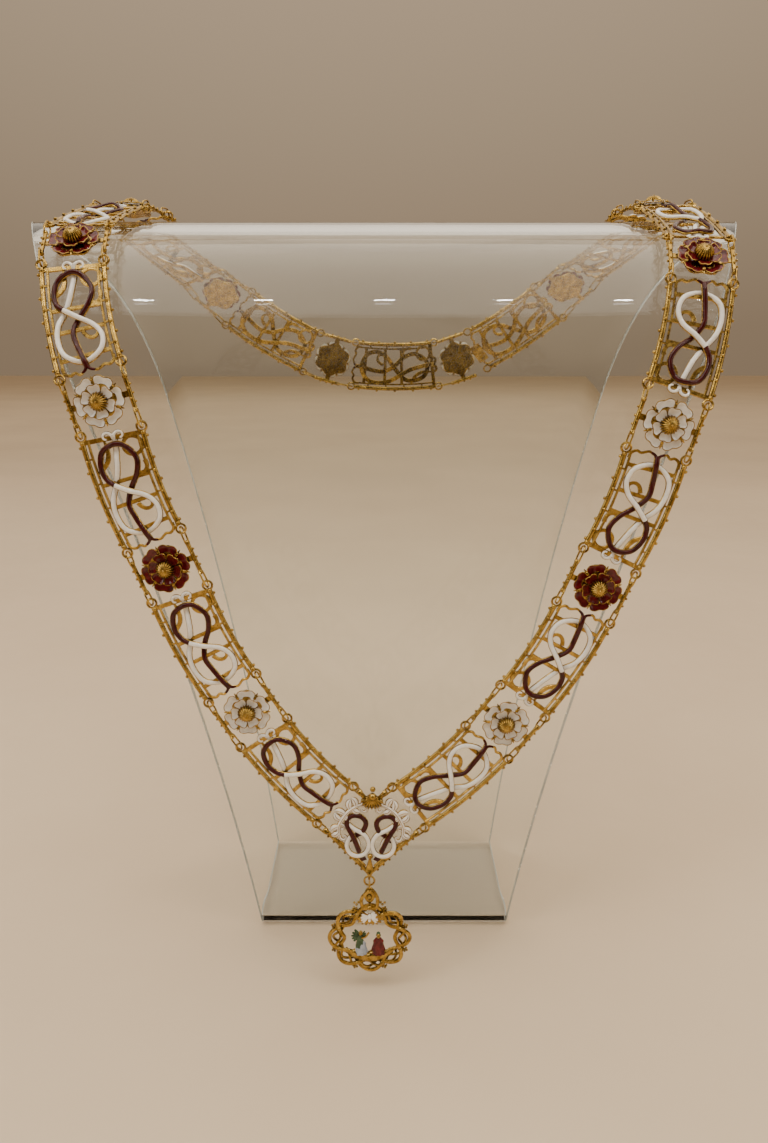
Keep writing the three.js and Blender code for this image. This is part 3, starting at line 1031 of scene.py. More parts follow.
    def dress(self, link: Link, name: str, palette: Palette) -> None:
        """Makes one plate's three pieces.

        Args:
            link: Its place.
            name: The solid's name.
            palette: The finishes.
        """
        add_piece(f"{name}_metal", link.carry(self.gold), palette.gold, Body.COLLAR, name)
        add_piece(f"{name}_red_cord", link.carry(self.red), palette.red, Body.COLLAR, name)
        add_piece(f"{name}_white_cord", link.carry(self.white), palette.white, Body.COLLAR, name)


@dataclass
class Rose:
    """A double rose with a fluted dome, on two short rails with its jump rings."""

    layout: Layout
    petals: int = 6
    outer: float = 12.3
    inner: float = 8.3
    dome: float = 4.8
    flutes: int = 20
    ring: JumpRing = field(default_factory=JumpRing)

    def petal(self, middle: float, near: float, far: float, spread: float, base: float, cup: float) -> Array:
        """One petal's rings: each runs over the top from edge to edge and back underneath.

        With u outwards and v across, the radius goes from near to far (1 - 0.06 exp(-(v / 0.3)^2) -
        0.07 v^4), the angle is spread v (0.82 + 0.18 sin(pi u)), and the face rises by cup u^2 to a
        rolled rim.

        Args:
            middle: The petal's direction in degrees.
            near: Radius at its root.
            far: Radius at its edge.
            spread: Half of its angle in degrees.
            base: Height at its root.
            cup: How much its edge rises.

        Returns:
            Stations by ring points by 3.
        """
        u = np.linspace(0, 1, 9)[:, None]
        v = np.concatenate([np.linspace(-1, 1, 13), np.linspace(1, -1, 13)])[None]
        under = np.concatenate([np.zeros(13), np.ones(13)])[None]
        edge = far * (1 - 0.06 * np.exp(-((v / 0.3) ** 2)) - 0.07 * np.abs(v) ** 4)
        radius = near + (edge - near) * u
        angle = np.radians(middle + spread * v * (0.82 + 0.18 * np.sin(np.pi * u)))
        rim = 0.5 * np.exp(-(((np.abs(v) - 0.9) / 0.16) ** 2)) + 0.45 * np.exp(-(((u - 0.93) / 0.1) ** 2))
        height = base + cup * u**2 + rim * u - 0.5 * (1 - v**2) * u * (1 - u) * 2
        height = height - under * 0.75 * (1 - 0.2 * u)
        return np.stack(np.broadcast_arrays(radius * np.cos(angle), radius * np.sin(angle), height), -1)

    def outline(self, rings: Array) -> Shell:
        """A fine gilt wire along a petal's edge: its two sides and its outer end, on the face."""
        top = rings[:, :13]
        path = np.concatenate([top[:, 0], top[-1, 1:-1], top[::-1, -1]])
        return sweep(path + [0, 0, 0.05], round_profile(0.22, 0.22, 6))

    def flower(self) -> tuple[list[Shell], list[Shell]]:
        """The flower in its own drawing.

        Returns:
            Enamelled shells and gilt shells.
        """
        enamel, gilt = [], []
        turns = 360 / self.petals * np.arange(self.petals)
        sepal_size = np.array([1, 1.1, 1, 0.9, 0.8, 0.6, 0.45, 0.2])
        for turn in turns:
            for rings in (
                self.petal(turn + 30, 3.5, self.outer, 29.4, 0.9, 0.5),
                self.petal(turn, 2.5, self.inner, 29.6, 2.2, 0.9),
            ):
                enamel.append(loft(rings))
                gilt.append(self.outline(rings))
            tip = np.radians(turn)
            out = np.array([math.cos(tip), math.sin(tip), 0.0])
            sepal = np.outer(np.linspace(8.4, 12.1, 8), out) + np.outer(np.linspace(1.7, 1.3, 8), UP)
            gilt.append(sweep(sepal, bar_profile(0.7, 0.45), scale=sepal_size))
            gilt.append(scatter(ball(), [out * 10.2 + UP * 2.0], 0.6))
        rise = 1.5 * np.linspace(0, 1, 10)
        dome = np.stack([self.dome * np.cos(rise) ** 0.8, 2.9 + 4.3 * np.sin(rise)], -1)
        profile = [(3.0, 2.2), *dome]
        gilt.append(revolve(profile, 6 * self.flutes, self.flutes, 0.2))
        gilt.append(scatter(ball(), [(0, 0, 7.1)], 0.7))
        angle = np.linspace(0, 2 * np.pi, 48, endpoint=False)
        back = 10.9 + 0.9 * np.cos(self.petals * (angle - np.pi / 6))
        disc = [np.stack([k * back * np.cos(angle), k * back * np.sin(angle), np.full(48, z)], -1)
                for k, z in ((0.5, -0.75), (0.97, -0.75), (1.0, -0.4), (1.0, 0.5), (0.95, 0.8), (0.5, 0.9))]
        gilt.append(loft(np.stack(disc)))
        return enamel, gilt

    def rails(self) -> list[Shell]:
        """Two short rails with rounded ends, a stay across the back and their beads."""
        rail, half = self.layout.rail_spacing / 2, self.layout.rose_length / 2 - 1
        stay = np.array([(0, -rail, -0.3), (0, 0, -0.3), (0, rail, -0.3)], float)
        shells = [sweep(stay, bar_profile(1.5, 0.4))]
        for side in (-1, 1):
            run = np.linspace(-half, half, 13)
            line = np.column_stack([run, np.full(13, side * rail), np.zeros(13)])
            shells.append(sweep(line, round_profile(1.15, 0.95)))
            outside = side * (rail + 1.4)
            beads = [(0, outside, 0), (-4.2, outside, 0), (4.2, outside, 0),
                     (-2.4, side * rail, 1.15), (2.4, side * rail, 1.15)]
            shells.append(scatter(ball(), beads, 0.68))
            ends = [(-half + 0.3, side * rail, 0), (half - 0.3, side * rail, 0)]
            shells.append(scatter(ball(), ends, 1.45))
        return shells

    def dress(self, link: Link, name: str, white: bool, neighbours: Sequence[tuple[int, Link, int]],
              palette: Palette) -> None:
        """Makes one rose's two pieces.

        Args:
            link: Its place.
            name: The solid's name.
            white: True for a white rose, False for a red one.
            neighbours: The rose's end, the plate there and the plate's end, for each joint.
            palette: The finishes.
        """
        enamel, gilt = self.flower()
        gilt += self.rails()
        rail, reach = self.layout.rail_spacing / 2, self.layout.rose_length / 2 - 2.4
        for end, plate, plate_end in neighbours:
            normal = link.axes @ plate.axes[2]
            for side, eye in zip((1, -1), self.layout.eyes(plate, plate_end)):
                start = np.array([end * reach, side * rail, 0.0])
                gilt.append(self.ring.build(start, link.look_at(eye), normal))
        add_piece(f"{name}_metal", link.carry(gilt), palette.gold, Body.COLLAR, name)
        add_piece(f"{name}_petals", link.carry(enamel), palette.white if white else palette.rose_red,
                  Body.COLLAR, name)


# Rows of start, heading, length and turn for the right half of the centre link's leaf scroll
LEAF_LOBES = (
    ((5.4, 42.2), 118, 5.6, 60), ((8.6, 41.2), 88, 5.8, -70), ((11.6, 39.2), 66, 6.2, 70),
    ((14.2, 36), 46, 6.4, -75), ((16, 32.6), 24, 6.0, 70), ((17.2, 28.8), -8, 5.6, -75),
    ((17.4, 25.4), -48, 4.8, 60), ((10.2, 39.8), 232, 4.6, -80), ((14.6, 34.8), 212, 4.4, 80),
)
LEAF_CURLS = (((5.2, 42.2), 200, 8.5, 260), ((17.2, 23.4), -100, 8.0, -270), ((16.8, 30), 190, 6.0, 240))


@dataclass
class CentreLink:
    """The pointed link: two rails, two small knots under leaf scrolls, a shell boss and a loop."""

    layout: Layout
    loop_radius: float = 1.75
    wire: float = 0.6
    ring: JumpRing = field(default_factory=JumpRing)
    red: list[Shell] = field(default_factory=list)
    white: list[Shell] = field(default_factory=list)
    gold: list[Shell] = field(default_factory=list)

    def curve(self, side: int, points: Sequence[Sequence[float]], steps: int = 8) -> Array:
        """A smooth curve through points of the right half, mirrored for the left one."""
        return spline(np.asarray(points, float) * [side, 1, 1], steps)

    def add_frame(self, side: int) -> None:
        """One side's rail with its beads, the corner balls and the neck up to the boss."""
        outer, inner = self.layout.outer, self.layout.inner
        rail = self.curve(side, [(0.4, 0.3, 0), (8, 8.5, 0), (16, 17, 0),
                                 (outer[0] - 0.6, outer[1] - 0.6, 0)])
        self.gold.append(sweep(rail, round_profile(1.2, 0.95)))
        border = self.curve(side, [(2.4, 5.0, 0.1), (9, 12, 0.1), (17.4, 21, 0.1)])
        self.gold.append(sweep(border, bar_profile(0.5, 0.55)))
        out = np.array([0.72 * side, -0.69, 0.0])
        way = np.linspace(0.14, 0.9, 7)[:, None]
        edge = np.array([side * outer[0], outer[1], 0.0]) * way
        self.gold.append(scatter(ball(), edge + out * 1.5, 0.75))
        self.gold.append(scatter(ball(), edge[:-1] + np.array([side * 1.6, 1.7, 1.1]), 0.6))
        corners = [(side * outer[0], outer[1], 0), (side * inner[0], inner[1], 0)]
        self.gold.append(scatter(spheroid(12, 8), corners, 1.7))
        neck = self.curve(side, [(1.2, 46, 0.2), (3.6, 46.2, 0.2), (inner[0], inner[1], 0)])
        self.gold.append(sweep(neck, round_profile(1.3, 1.0)))
        leaf = self.curve(side, [(2.6, 10.2, 0.2), (5.4, 8.6, 0.2), (7.4, 9.4, 0.2)])
        self.red.append(sweep(leaf, bar_profile(1.6, 0.5), scale=np.linspace(1.0, 0.35, len(leaf))))

    def add_knot(self, side: int) -> None:
        """One small knot: a white lower loop threaded by a red arm with an upper loop."""
        red = [(6, 14, 0.8), (9.5, 23.1, 1.7), (12.9, 29.5, 0.8), (12.6, 33.4, 0.3), (9.6, 35.6, 0.5),
               (5.4, 34.9, 0.6), (2.9, 31.2, 0.6), (4.4, 26.4, 0.6), (8.7, 22.4, -0.6), (11.4, 20, -0.4)]
        white = [(12.9, 30.4, -0.2), (9.0, 27.6, 0.4), (3.3, 24.4, 0.9), (0.9, 18.4, 0.6), (2.9, 12.9, 0.6),
                 (7.5, 11.8, 1.3), (11.4, 13.4, 0.6), (12.9, 18.2, 0.5), (10.8, 22.4, -0.3),
                 (7.6, 20.4, -0.3), (6.4, 16.4, -0.3)]
        for points, shells, half in ((red, self.red, 1.25), (white, self.white, 1.15)):
            path = self.curve(side, points)
            shells.append(sweep(path, round_profile(half, 1.0, 10, 0.3)))
            self.gold.append(sweep(path, bar_profile(half + 0.2, 0.45, -0.35)))

    def add_leaves(self, side: int) -> None:
        """The leaf scroll: a thin curved stem, pointed lobes on both sides and a curl at each end."""
        stem = self.curve(side, [(4.2, 42.4, 0), (8, 41.2, 0.2), (12.4, 38, 0.3), (15.6, 33.4, 0.3),
                                 (17.6, 28, 0.2), (17.2, 22.4, 0)])
        size = 0.7 + 0.5 * np.sin(np.pi * np.linspace(0, 1, len(stem)))
        self.add_leaf(stem, 0.85, size)
        way = np.linspace(0, 1, 22)
        blade = 0.25 + 0.95 * np.sin(np.pi * (0.12 + 0.86 * way) ** 1.15) ** 0.9
        for start, heading, length, turn in LEAF_LOBES:
            self.add_leaf(curl(start, heading, length, turn, height=0.3) * [side, 1, 1], 1.25, blade)
        for start, heading, length, turn in LEAF_CURLS:
            path = curl(start, heading, length, turn, height=0.2) * [side, 1, 1]
            self.add_leaf(path, 0.8, taper(len(path), 1.1, 0.6))

    def add_leaf(self, path: Array, half: float, size: Array) -> None:
        """A white enamelled rib or lobe in a slightly wider gilt bed.

        Args:
            path: Its middle line.
            half: Half of its width where its size is 1.
            size: Its size along the line.
        """
        self.white.append(sweep(path, round_profile(half, 0.7, 10, 0.25), scale=size))
        self.gold.append(sweep(path, bar_profile(half + 0.32, 0.4, -0.2), scale=size))
        self.gold.append(sweep(path + 0.85 * size[:, None] * UP, round_profile(0.2, 0.2, 6), scale=size))

    def add_boss(self) -> None:
        """The fluted shell with its balls, the cone over the tip and the loop under it."""
        angle = np.linspace(-1, 1, 73)
        grow = np.linspace(0.12, 1, 9)[:, None]
        flute = 1 + 0.13 * np.abs(np.cos(4.5 * np.pi * angle))
        reach = 7.2 * grow * (1 - 0.1 * angle**2) * flute
        x, y = reach * np.sin(angle * 1.05), 49.2 - reach * np.cos(angle * 1.05) * 1.1
        z = 0.6 + 2.6 * np.sin(np.pi * (0.12 + 0.8 * grow)) + 4.0 * (flute - 1) * grow
        top = np.stack([x, y, np.broadcast_to(z, x.shape)], -1)
        under = top * [1, 1, 0] + [0, 0, -0.4]
        self.gold.append(loft(np.concatenate([top, under[:, ::-1]], 1)[::-1]))
        balls = [((0.2, 48.4, 2.2), 2.0), ((0.2, 52.2, 1.4), 1.5), ((0, 11.4, 1.0), 1.55),
                 ((0, 0.2, 0.2), 1.6), ((-2.6, 46.6, 1.6), 1.1), ((2.6, 46.6, 1.6), 1.1)]
        for centre, radius in balls:
            self.gold.append(scatter(spheroid(16, 9), [centre], radius))
        rise = np.linspace(0, 1, 10)
        cone = np.column_stack([np.zeros(10), 2.6 + 7.4 * rise, 0.5 + 0.4 * rise])
        self.gold.append(sweep(cone, round_profile(2.2, 1.7, 12), scale=1.25 - 0.95 * rise**0.7))
        hoop = circle((0, 0, 0), self.loop_radius, steps=24)[:, [2, 0, 1]] + [0, -self.loop_radius, 0]
        self.gold.append(sweep(hoop, round_profile(self.wire, self.wire, 8), np.array([1.0, 0, 0]), True))

    def dress(self, link: Link, name: str, neighbours: Sequence[tuple[int, Link, int]],
              palette: Palette) -> None:
        """Makes the link's three pieces.

        Args:
            link: Its place.
            name: The solid's name.
            neighbours: The side, the plate there and the plate's end, for both sides.
            palette: The finishes.
        """
        for side in (-1, 1):
            self.add_frame(side)
            self.add_knot(side)
            self.add_leaves(side)
        self.add_boss()
        for side, plate, plate_end in neighbours:
            normal = link.axes @ plate.axes[2]
            corners = (self.layout.outer, self.layout.inner)
            for corner, eye in zip(corners, self.layout.eyes(plate, plate_end)):
                start, far = np.array([side * corner[0], corner[1], 0.0]), link.look_at(eye)
                back = 1.6 * (start - far) / np.linalg.norm(start - far)
                self.gold.append(self.ring.build(start + back, far, normal))
        add_piece(f"{name}_metal", link.carry(self.gold), palette.gold, Body.COLLAR, name)
        add_piece(f"{name}_red", link.carry(self.red), palette.red, Body.COLLAR, name)
        add_piece(f"{name}_white", link.carry(self.white), palette.white, Body.COLLAR, name)


@dataclass
class Clasp:
    """The plain tongue plate behind one link near the back."""

    centre: tuple[float, float, float] = (-28.0, 0.0, -1.8)
    size: tuple[float, float, float] = (7.0, 13.0, 0.8)

    def dress(self, link: Link, palette: Palette) -> None:
        """A flat bar with bevelled edges and two rivets.

        Args:
            link: The plate that it belongs to.
            palette: The finishes.
        """
        x, y, z = self.centre
        line = np.array([(x, y + k * self.size[1] / 2, z) for k in (-1, -0.9, 0, 0.9, 1)])
        section = bar_profile(self.size[0] / 2, self.size[2] / 2)
        tongue = sweep(line, section, scale=np.array([0.94, 1, 1, 1, 0.94]))
        rivets = scatter(ball(), [(x, y - 4.5, z - 0.4), (x, y + 4.5, z - 0.4)], np.array([0.9, 0.9, 0.4]))
        add_piece("clasp_tongue", link.carry([tongue, rivets]), palette.gold, Body.COLLAR, "clasp")


# Badge


@dataclass
class Badge:
    """The hanging badge: a wreath of interlaced cords round two small figures under a dove."""

    layout: Layout
    ring_radius: float = 2.8
    wire: float = 0.55
    drop: float = 39.5
    half_width: float = 18.4
    half_height: float = 17.0
    wave: float = 4.2
    cord: float = 1.15
    gold: list[Shell] = field(default_factory=list)

    def frame(self) -> Link:
        """The badge's frame: x to the right, y up and z to the front, with its middle under the hinge."""
        hinge = self.layout.centre_point(0, -1.75) + [0, self.layout.shift, 0]
        axes = np.array([[1.0, 0, 0], [0, 0, 1.0], [0, -1.0, 0]])
        return Link(LinkKind.CENTRE, axes, hinge - [0, 0, self.drop])

    def wreath_cord(self, phase: float, waves: int, wave: float, weave: float) -> Array:
        """A cord round the oval: radius + wave cos(n a + phase), over and under by weave sin(n a + phase).

        Args:
            phase: Where its waves begin, in radians.
            waves: Number of waves.
            wave: Height of a wave.
            weave: How far it goes to the front and back.

        Returns:
            The closed path.
        """
        angle = 2 * np.pi * np.arange(144) / 144
        out = wave * np.cos(waves * angle + phase)
        return np.stack([
            (self.half_width + out) * np.cos(angle),
            (self.half_height + out) * np.sin(angle),
            weave * np.sin(waves * angle + phase),
        ], -1)

    def add_wreath(self) -> None:
        """Four cords in two pairs, a bead at each crossing and a sprig of three balls between lobes."""
        for phase in (0.0, math.pi):
            path = self.wreath_cord(phase, 4, self.wave, 0.8)
            self.gold.append(sweep(path, round_profile(self.cord, 1.05, 8), closed=True))
            inner = self.wreath_cord(phase + 0.35, 8, 2.0, -0.9)
            self.gold.append(sweep(inner, round_profile(0.75, 0.75, 8), closed=True))
        for count in range(8):
            angle = math.pi * (count / 4 + 0.125)
            out = np.array([math.cos(angle), math.sin(angle), 0])
            place = np.array([self.half_width * out[0], self.half_height * out[1], 0.9])
            self.gold.append(scatter(spheroid(12, 7), [place], 1.35))
            side = np.array([-out[1], out[0], 0])
            sprig = place + out * 3.4 - [0, 0, 0.9]
            dots = [sprig + out * 0.9, sprig + side * 1.1, sprig - side * 1.1]
            self.gold.append(scatter(ball(), dots, 0.72))
            stalk = np.stack([place * [1, 1, 0], sprig])
            self.gold.append(sweep(stalk, round_profile(0.6, 0.6, 8)))

    def add_bail(self) -> None:
        """The knot over the wreath: two crossing loops, a collar with balls and the small hoop on top."""
        knot = spline([(-3.2, 19.4, 0.5), (-4.6, 23.4, 0.3), (-3.4, 27.6, 0.8), (0, 30.4, 0.9),
                       (2.2, 27.2, 0.3), (0, 23.0, -0.8), (-2.2, 27.2, -0.3), (0, 31.2, -0.9),
                       (3.4, 27.6, -0.6), (4.6, 23.4, 0.3), (3.2, 19.4, 0.5), (0, 20.6, 1.3)], 8, True)
        self.gold.append(sweep(knot, round_profile(1.05, 0.95, 8), closed=True))
        self.gold.append(scatter(spheroid(12, 8), [(0, 20.4, 1.2), (0, 26.9, 0.2)], 1.5))
        dots = [(-7.2, 21.6, 0), (-6.2, 23, 0), (-8.4, 22.8, 0), (7.2, 21.6, 0), (6.2, 23, 0), (8.4, 22.8, 0)]
        self.gold.append(scatter(ball(), dots, 0.75))
        top = self.drop - 2 * self.ring_radius
        hoop = circle((0, 0, 0), 1.75, steps=24)[:, [2, 0, 1]] + [0, top, 0]
        self.gold.append(sweep(hoop, round_profile(self.wire, self.wire, 8), np.array([1.0, 0, 0]), True))

    def add_rays(self) -> None:
        """Gilt rays in a fan under the dove, each a bar that runs to a point."""
        size = np.array([0.5, 0.6, 0.8, 1.1, 1.35, 1.3, 0.9, 0.3])
        for angle in np.radians(np.linspace(188, 352, 11)):
            out = np.array([math.cos(angle), math.sin(angle), 0])
            reach = 6.8 + 2.4 * abs(out[0])
            line = np.array([0, 15.2, -0.3]) + np.outer(np.linspace(1.0, reach, 8), out)
            self.gold.append(sweep(line, bar_profile(0.75, 0.45), scale=size))

    def ledge(self) -> Shell:
        """The ground: a mound whose height is a sum of waves, closed by a keel underneath.

        Returns:
            The mound.
        """
        across = np.linspace(-13.4, 13.4, 40)
        ripple = 0.5 * np.sin(1.3 * across) + 0.35 * np.sin(2.9 * across + 1)
        top = -8.8 + 0.012 * across**2 + ripple
        keel = -15.6 + 0.034 * across**2
        angle = 2 * np.pi * np.arange(14) / 14
        middle, half = (top + keel) / 2, (top - keel) / 2
        rings = np.stack([
            np.broadcast_to(across[:, None], (40, 14)),
            middle[:, None] + half[:, None] * np.sin(angle),
            2.4 * np.cos(angle) * (1 - (across[:, None] / 15) ** 2),
        ], -1)
        return loft(rings[::-1])

    def robe(self, x: float, foot: float, height: float, width: float, folds: int) -> Shell:
        """A robed body: an oval that narrows to the neck, with folds that fade out upwards.

        Args:
            x: Its place across the badge.
            foot: Where it stands.
            height: Height up to the neck.
            width: Half of the hem's width.
            folds: Number of folds round the hem.

        Returns:
            The body.
        """
        way = np.linspace(0, 1, 16)[:, None]
        angle = 2 * np.pi * np.arange(48)[None] / 48
        reach = width * (1 - 0.62 * way**1.5) * (1 + 0.1 * (1 - way) * np.cos(folds * angle))
        shoulder = 1 + 0.35 * np.exp(-(((way - 0.82) / 0.1) ** 2))
        across, front = x + reach * shoulder * np.cos(angle), -0.62 * reach * np.sin(angle)
        return loft(np.stack(np.broadcast_arrays(across, foot + height * way, front), -1)[::-1])

    def head(self, x: float, y: float, size: float) -> Shell:
        """A plain oval head with a small nose and shallow eye hollows, facing the front.

        Args:
            x: Its place across the badge.
            y: Its middle.
            size: Half of its height.

        Returns:
            The head.
        """
        shell = spheroid(24, 15)
        points = shell.points[:, [0, 2, 1]] * [-1, 1, 1]
        front = np.clip(points[:, 2], 0, 1)
        nose = 0.22 * np.exp(-((points[:, 0] / 0.16) ** 2) - (((points[:, 1] + 0.1) / 0.28) ** 2)) * front
        aside, above = (np.abs(points[:, 0]) - 0.36) / 0.17, (points[:, 1] - 0.12) / 0.14
        eyes = 0.09 * np.exp(-(aside**2) - above**2) * front
        points = points * [0.78, 1.0, 0.86]
        points[:, 2] += nose - eyes
        return Shell(points * size + [x, y, 0.3], shell.quads, shell.tris)

    def wing(self, root: Sequence[float], side: int, length: float, drop: float) -> list[Shell]:
        """A wing of five feathers, each a flat tapering bar that curves out from the root.

        Args:
            root: Where it springs from.
            side: -1 to the left, 1 to the right.
            length: The longest feather.
            drop: How far the tips turn down.

        Returns:
            The feathers.
        """
        feathers = []
        for count in range(5):
            way = np.linspace(0, 1, 12)
            lift = math.radians(62 - 22 * count)
            reach = length * (1 - 0.1 * count) * way
            path = np.asarray(root, float) + np.stack([
                side * reach * math.cos(lift),
                reach * math.sin(lift) - drop * way**2,
                0.12 * count * np.ones(12),
            ], -1)
            size = 0.45 + 0.75 * np.sin(np.pi * (0.1 + 0.78 * way))
            feathers.append(sweep(path, round_profile(0.12 * length, 0.28, 8), scale=size))
        return feathers

    def dress(self, palette: Palette) -> None:
        """Makes the badge's pieces and its ring.

        Args:
            palette: The finishes.
        """
        place = self.frame()
        self.add_wreath()
        self.add_bail()
        self.add_rays()
        self.gold += [self.ledge(), self.head(-5.0, 3.2, 1.5), self.head(4.9, 1.3, 1.5)]
        arm = spline([(-4.4, 0.6, 1.2), (-2.2, 1.8, 1.5), (-0.4, 4.2, 1.2)], 6)
        self.gold.append(sweep(arm, round_profile(0.6, 0.6, 8)))
        green_wings = self.wing((-5.6, 0.4, -0.9), -1, 6.2, 1.4) + self.wing((-4.4, 0.8, -0.9), 1, 3.6, 0.4)
        dove = [scatter(spheroid(20, 11), [(0, 14.2, 1.1)], np.array([1.15, 1.9, 1.0]))]
        dove += self.wing((-0.5, 14.4, 1.0), -1, 5.6, 2.2) + self.wing((0.5, 14.4, 1.0), 1, 5.6, 2.2)
        dove.append(scatter(spheroid(14, 9), [(0, 12.2, 1.5)], 0.85))
        layers = (
            ("pendant_wreath", self.gold, palette.gold, Slot.GOLD),
            ("pendant_dove", dove, palette.white, Slot.WHITE),
            ("pendant_left_robe", [self.robe(-4.8, -10.2, 8.2, 3.7, 9)], palette.sky, None),
            ("pendant_left_cloak", [self.robe(-5.4, -6.0, 7.6, 2.6, 7), *green_wings], palette.green, None),
            ("pendant_right_robe", [self.robe(4.9, -10.2, 10.2, 4.0, 10)], palette.rose_red, Slot.RED),
            ("pendant_right_hood", [self.robe(4.9, 1.2, 2.6, 1.35, 6)], palette.green, None),
        )
        for name, shells, material, slot in layers:
            add_piece(name, place.carry(shells), material, Body.BADGE, "pendant")
        hoop = circle((0, 0, 0), self.ring_radius, steps=32) + [0, self.drop - self.ring_radius, 0]
        ring = sweep(hoop, round_profile(self.wire, self.wire, 10), closed=True)
        add_piece("pendant_ring_wire", place.carry([ring]), palette.gold, Body.BADGE, "pendant_ring")


# Stand


@dataclass
class Stand:
    """One sheet of clear acrylic: up the front, round the crest, down the back and along the base."""

    layout: Layout
    thickness: float = 5.0
    crest_height: float = 338.0
    crest_radius: float = 85.6
    front_foot: float = -42.0
    back_foot: float = 52.0
    foot_half_width: float = 78.0
    flare: float = 0.139
    flare_growth: float = 0.000236
    fold: float = 7.0

    def outline(self) -> tuple[Array, Array]:
        """The sheet's outer face in the YZ plane, as a closed run, with its half width along it.

        The panels touch the crest's circle, and each fold at the foot is an arc. Half the width is
        foot + flare s + growth s^2 at the way s up from the nearer foot.

        Returns:
            Points of y and z, and half widths.
        """
        front = self.tangent(self.front_foot, -1)
        back = self.tangent(self.back_foot, 1)
        crest = np.linspace(front, math.pi - back, 96)
        level = self.crest_height + self.crest_radius * np.sin(crest)
        arc = np.stack([-self.crest_radius * np.cos(crest), level], -1)
        feet = np.array([[self.front_foot, 0.0], [self.back_foot, 0.0]])
        fold_front = self.fold_arc(feet[0], arc[0], feet[1])[::-1]
        fold_back = self.fold_arc(feet[1], feet[0], arc[-1])[::-1]
        rise = np.linspace(0, 1, 26)[1:-1, None]
        upper = np.concatenate([
            fold_front, fold_front[-1] * (1 - rise) + arc[0] * rise, arc,
            arc[-1] * (1 - rise) + fold_back[0] * rise, fold_back,
        ])
        base = fold_back[-1] * (1 - rise) + fold_front[0] * rise
        run = np.concatenate([[0], np.cumsum(np.linalg.norm(np.diff(upper, axis=0), axis=1))])
        up = np.maximum(np.minimum(run, run[-1] - run) - self.fold, 0)
        widths = self.foot_half_width + self.flare * up + self.flare_growth * up**2
        base_widths = np.full(len(base), self.foot_half_width)
        return np.concatenate([upper, base]), np.concatenate([widths, base_widths])

    def tangent(self, foot: float, side: int) -> float:
        """The angle below the crest's axis where a panel from this foot touches the circle."""
        away = math.hypot(foot, self.crest_height)
        return -(math.asin(self.crest_radius / away) - math.atan2(side * foot, self.crest_height))

    def fold_arc(self, corner: Array, before: Array, after: Array) -> Array:
        """A corner rounded by an arc that touches both of its sides.

        Args:
            corner: The sharp corner.
            before: A point on the side that comes first.
            after: A point on the other side.

        Returns:
            Points from the first side to the second.
        """
        one = (before - corner) / np.linalg.norm(before - corner)
        two = (after - corner) / np.linalg.norm(after - corner)
        half = math.acos(float(np.clip(one @ two, -1, 1))) / 2
        reach = self.fold / math.tan(half)
        t = np.linspace(0, 1, 9)[:, None]
        start, end = corner + one * reach, corner + two * reach
        weight = math.sin(half)
        blend = (1 - t) ** 2 + 2 * t * (1 - t) * weight + t**2
        return (start * (1 - t) ** 2 + corner * 2 * t * (1 - t) * weight + end * t**2) / blend

    def dress(self, palette: Palette) -> None:
        """Makes the stand: at each station, a rounded oblong as wide and as thick as the sheet.

        Args:
            palette: The finishes.
        """
        points, widths = self.outline()
        tangent = np.roll(points, -1, 0) - np.roll(points, 1, 0)
        tangent /= np.linalg.norm(tangent, axis=1, keepdims=True)
        inwards = np.stack([tangent[:, 1], -tangent[:, 0]], -1)
        edge, deep = 0.7, self.thickness
        depth = np.array([0, 0.2 * edge, edge, deep - edge, deep - 0.2 * edge, deep])
        inset = np.array([edge, 0.2 * edge, 0, 0, 0.2 * edge, edge])
        cross = np.linspace(-0.9, 0.9, 7)
        x_right = widths[:, None] - inset[None]
        x_top = widths[:, None] * cross[None]
        x = np.concatenate([x_top, x_right, x_top[:, ::-1], -x_right[:, ::-1]], 1)
        d = np.concatenate([np.zeros(len(cross)), depth, np.full(len(cross), deep), depth[::-1]])
        y = points[:, :1] + inwards[:, :1] * d[None] + self.layout.shift
        z = points[:, 1:] + inwards[:, 1:] * d[None]
        band = loft(np.stack([x, y, z], -1) * MM, True)
        sheet = add_piece("stand_sheet", [band], palette.acrylic, Body.COLLAR, "stand")
        sheet.data.materials.append(palette.edge)
        columns = np.zeros(x.shape, np.int32)
        for first in (len(cross), 2 * len(cross) + x_right.shape[1]):
            columns[:, first:first + x_right.shape[1] - 1] = 1
        sheet.data.polygons.foreach_set("material_index", columns.ravel())


# Studio


@dataclass(frozen=True)
class SoftLight:
    """One oval lamp."""

    name: str
    place: tuple[float, float, float]
    turn: tuple[float, float, float]
    size: tuple[float, float]
    power: float
    colour: tuple[float, float, float]

    def hang(self) -> None:
        """Adds the lamp to the scene."""
        lamp = bpy.data.lights.new(self.name, "AREA")
        lamp.shape = "ELLIPSE"
        lamp.size, lamp.size_y = self.size
        lamp.energy = self.power
        lamp.color = self.colour
        item = bpy.data.objects.new(self.name, lamp)
        item.location = self.place
        item.rotation_euler = Euler([math.radians(angle) for angle in self.turn])
        bpy.context.scene.collection.objects.link(item)


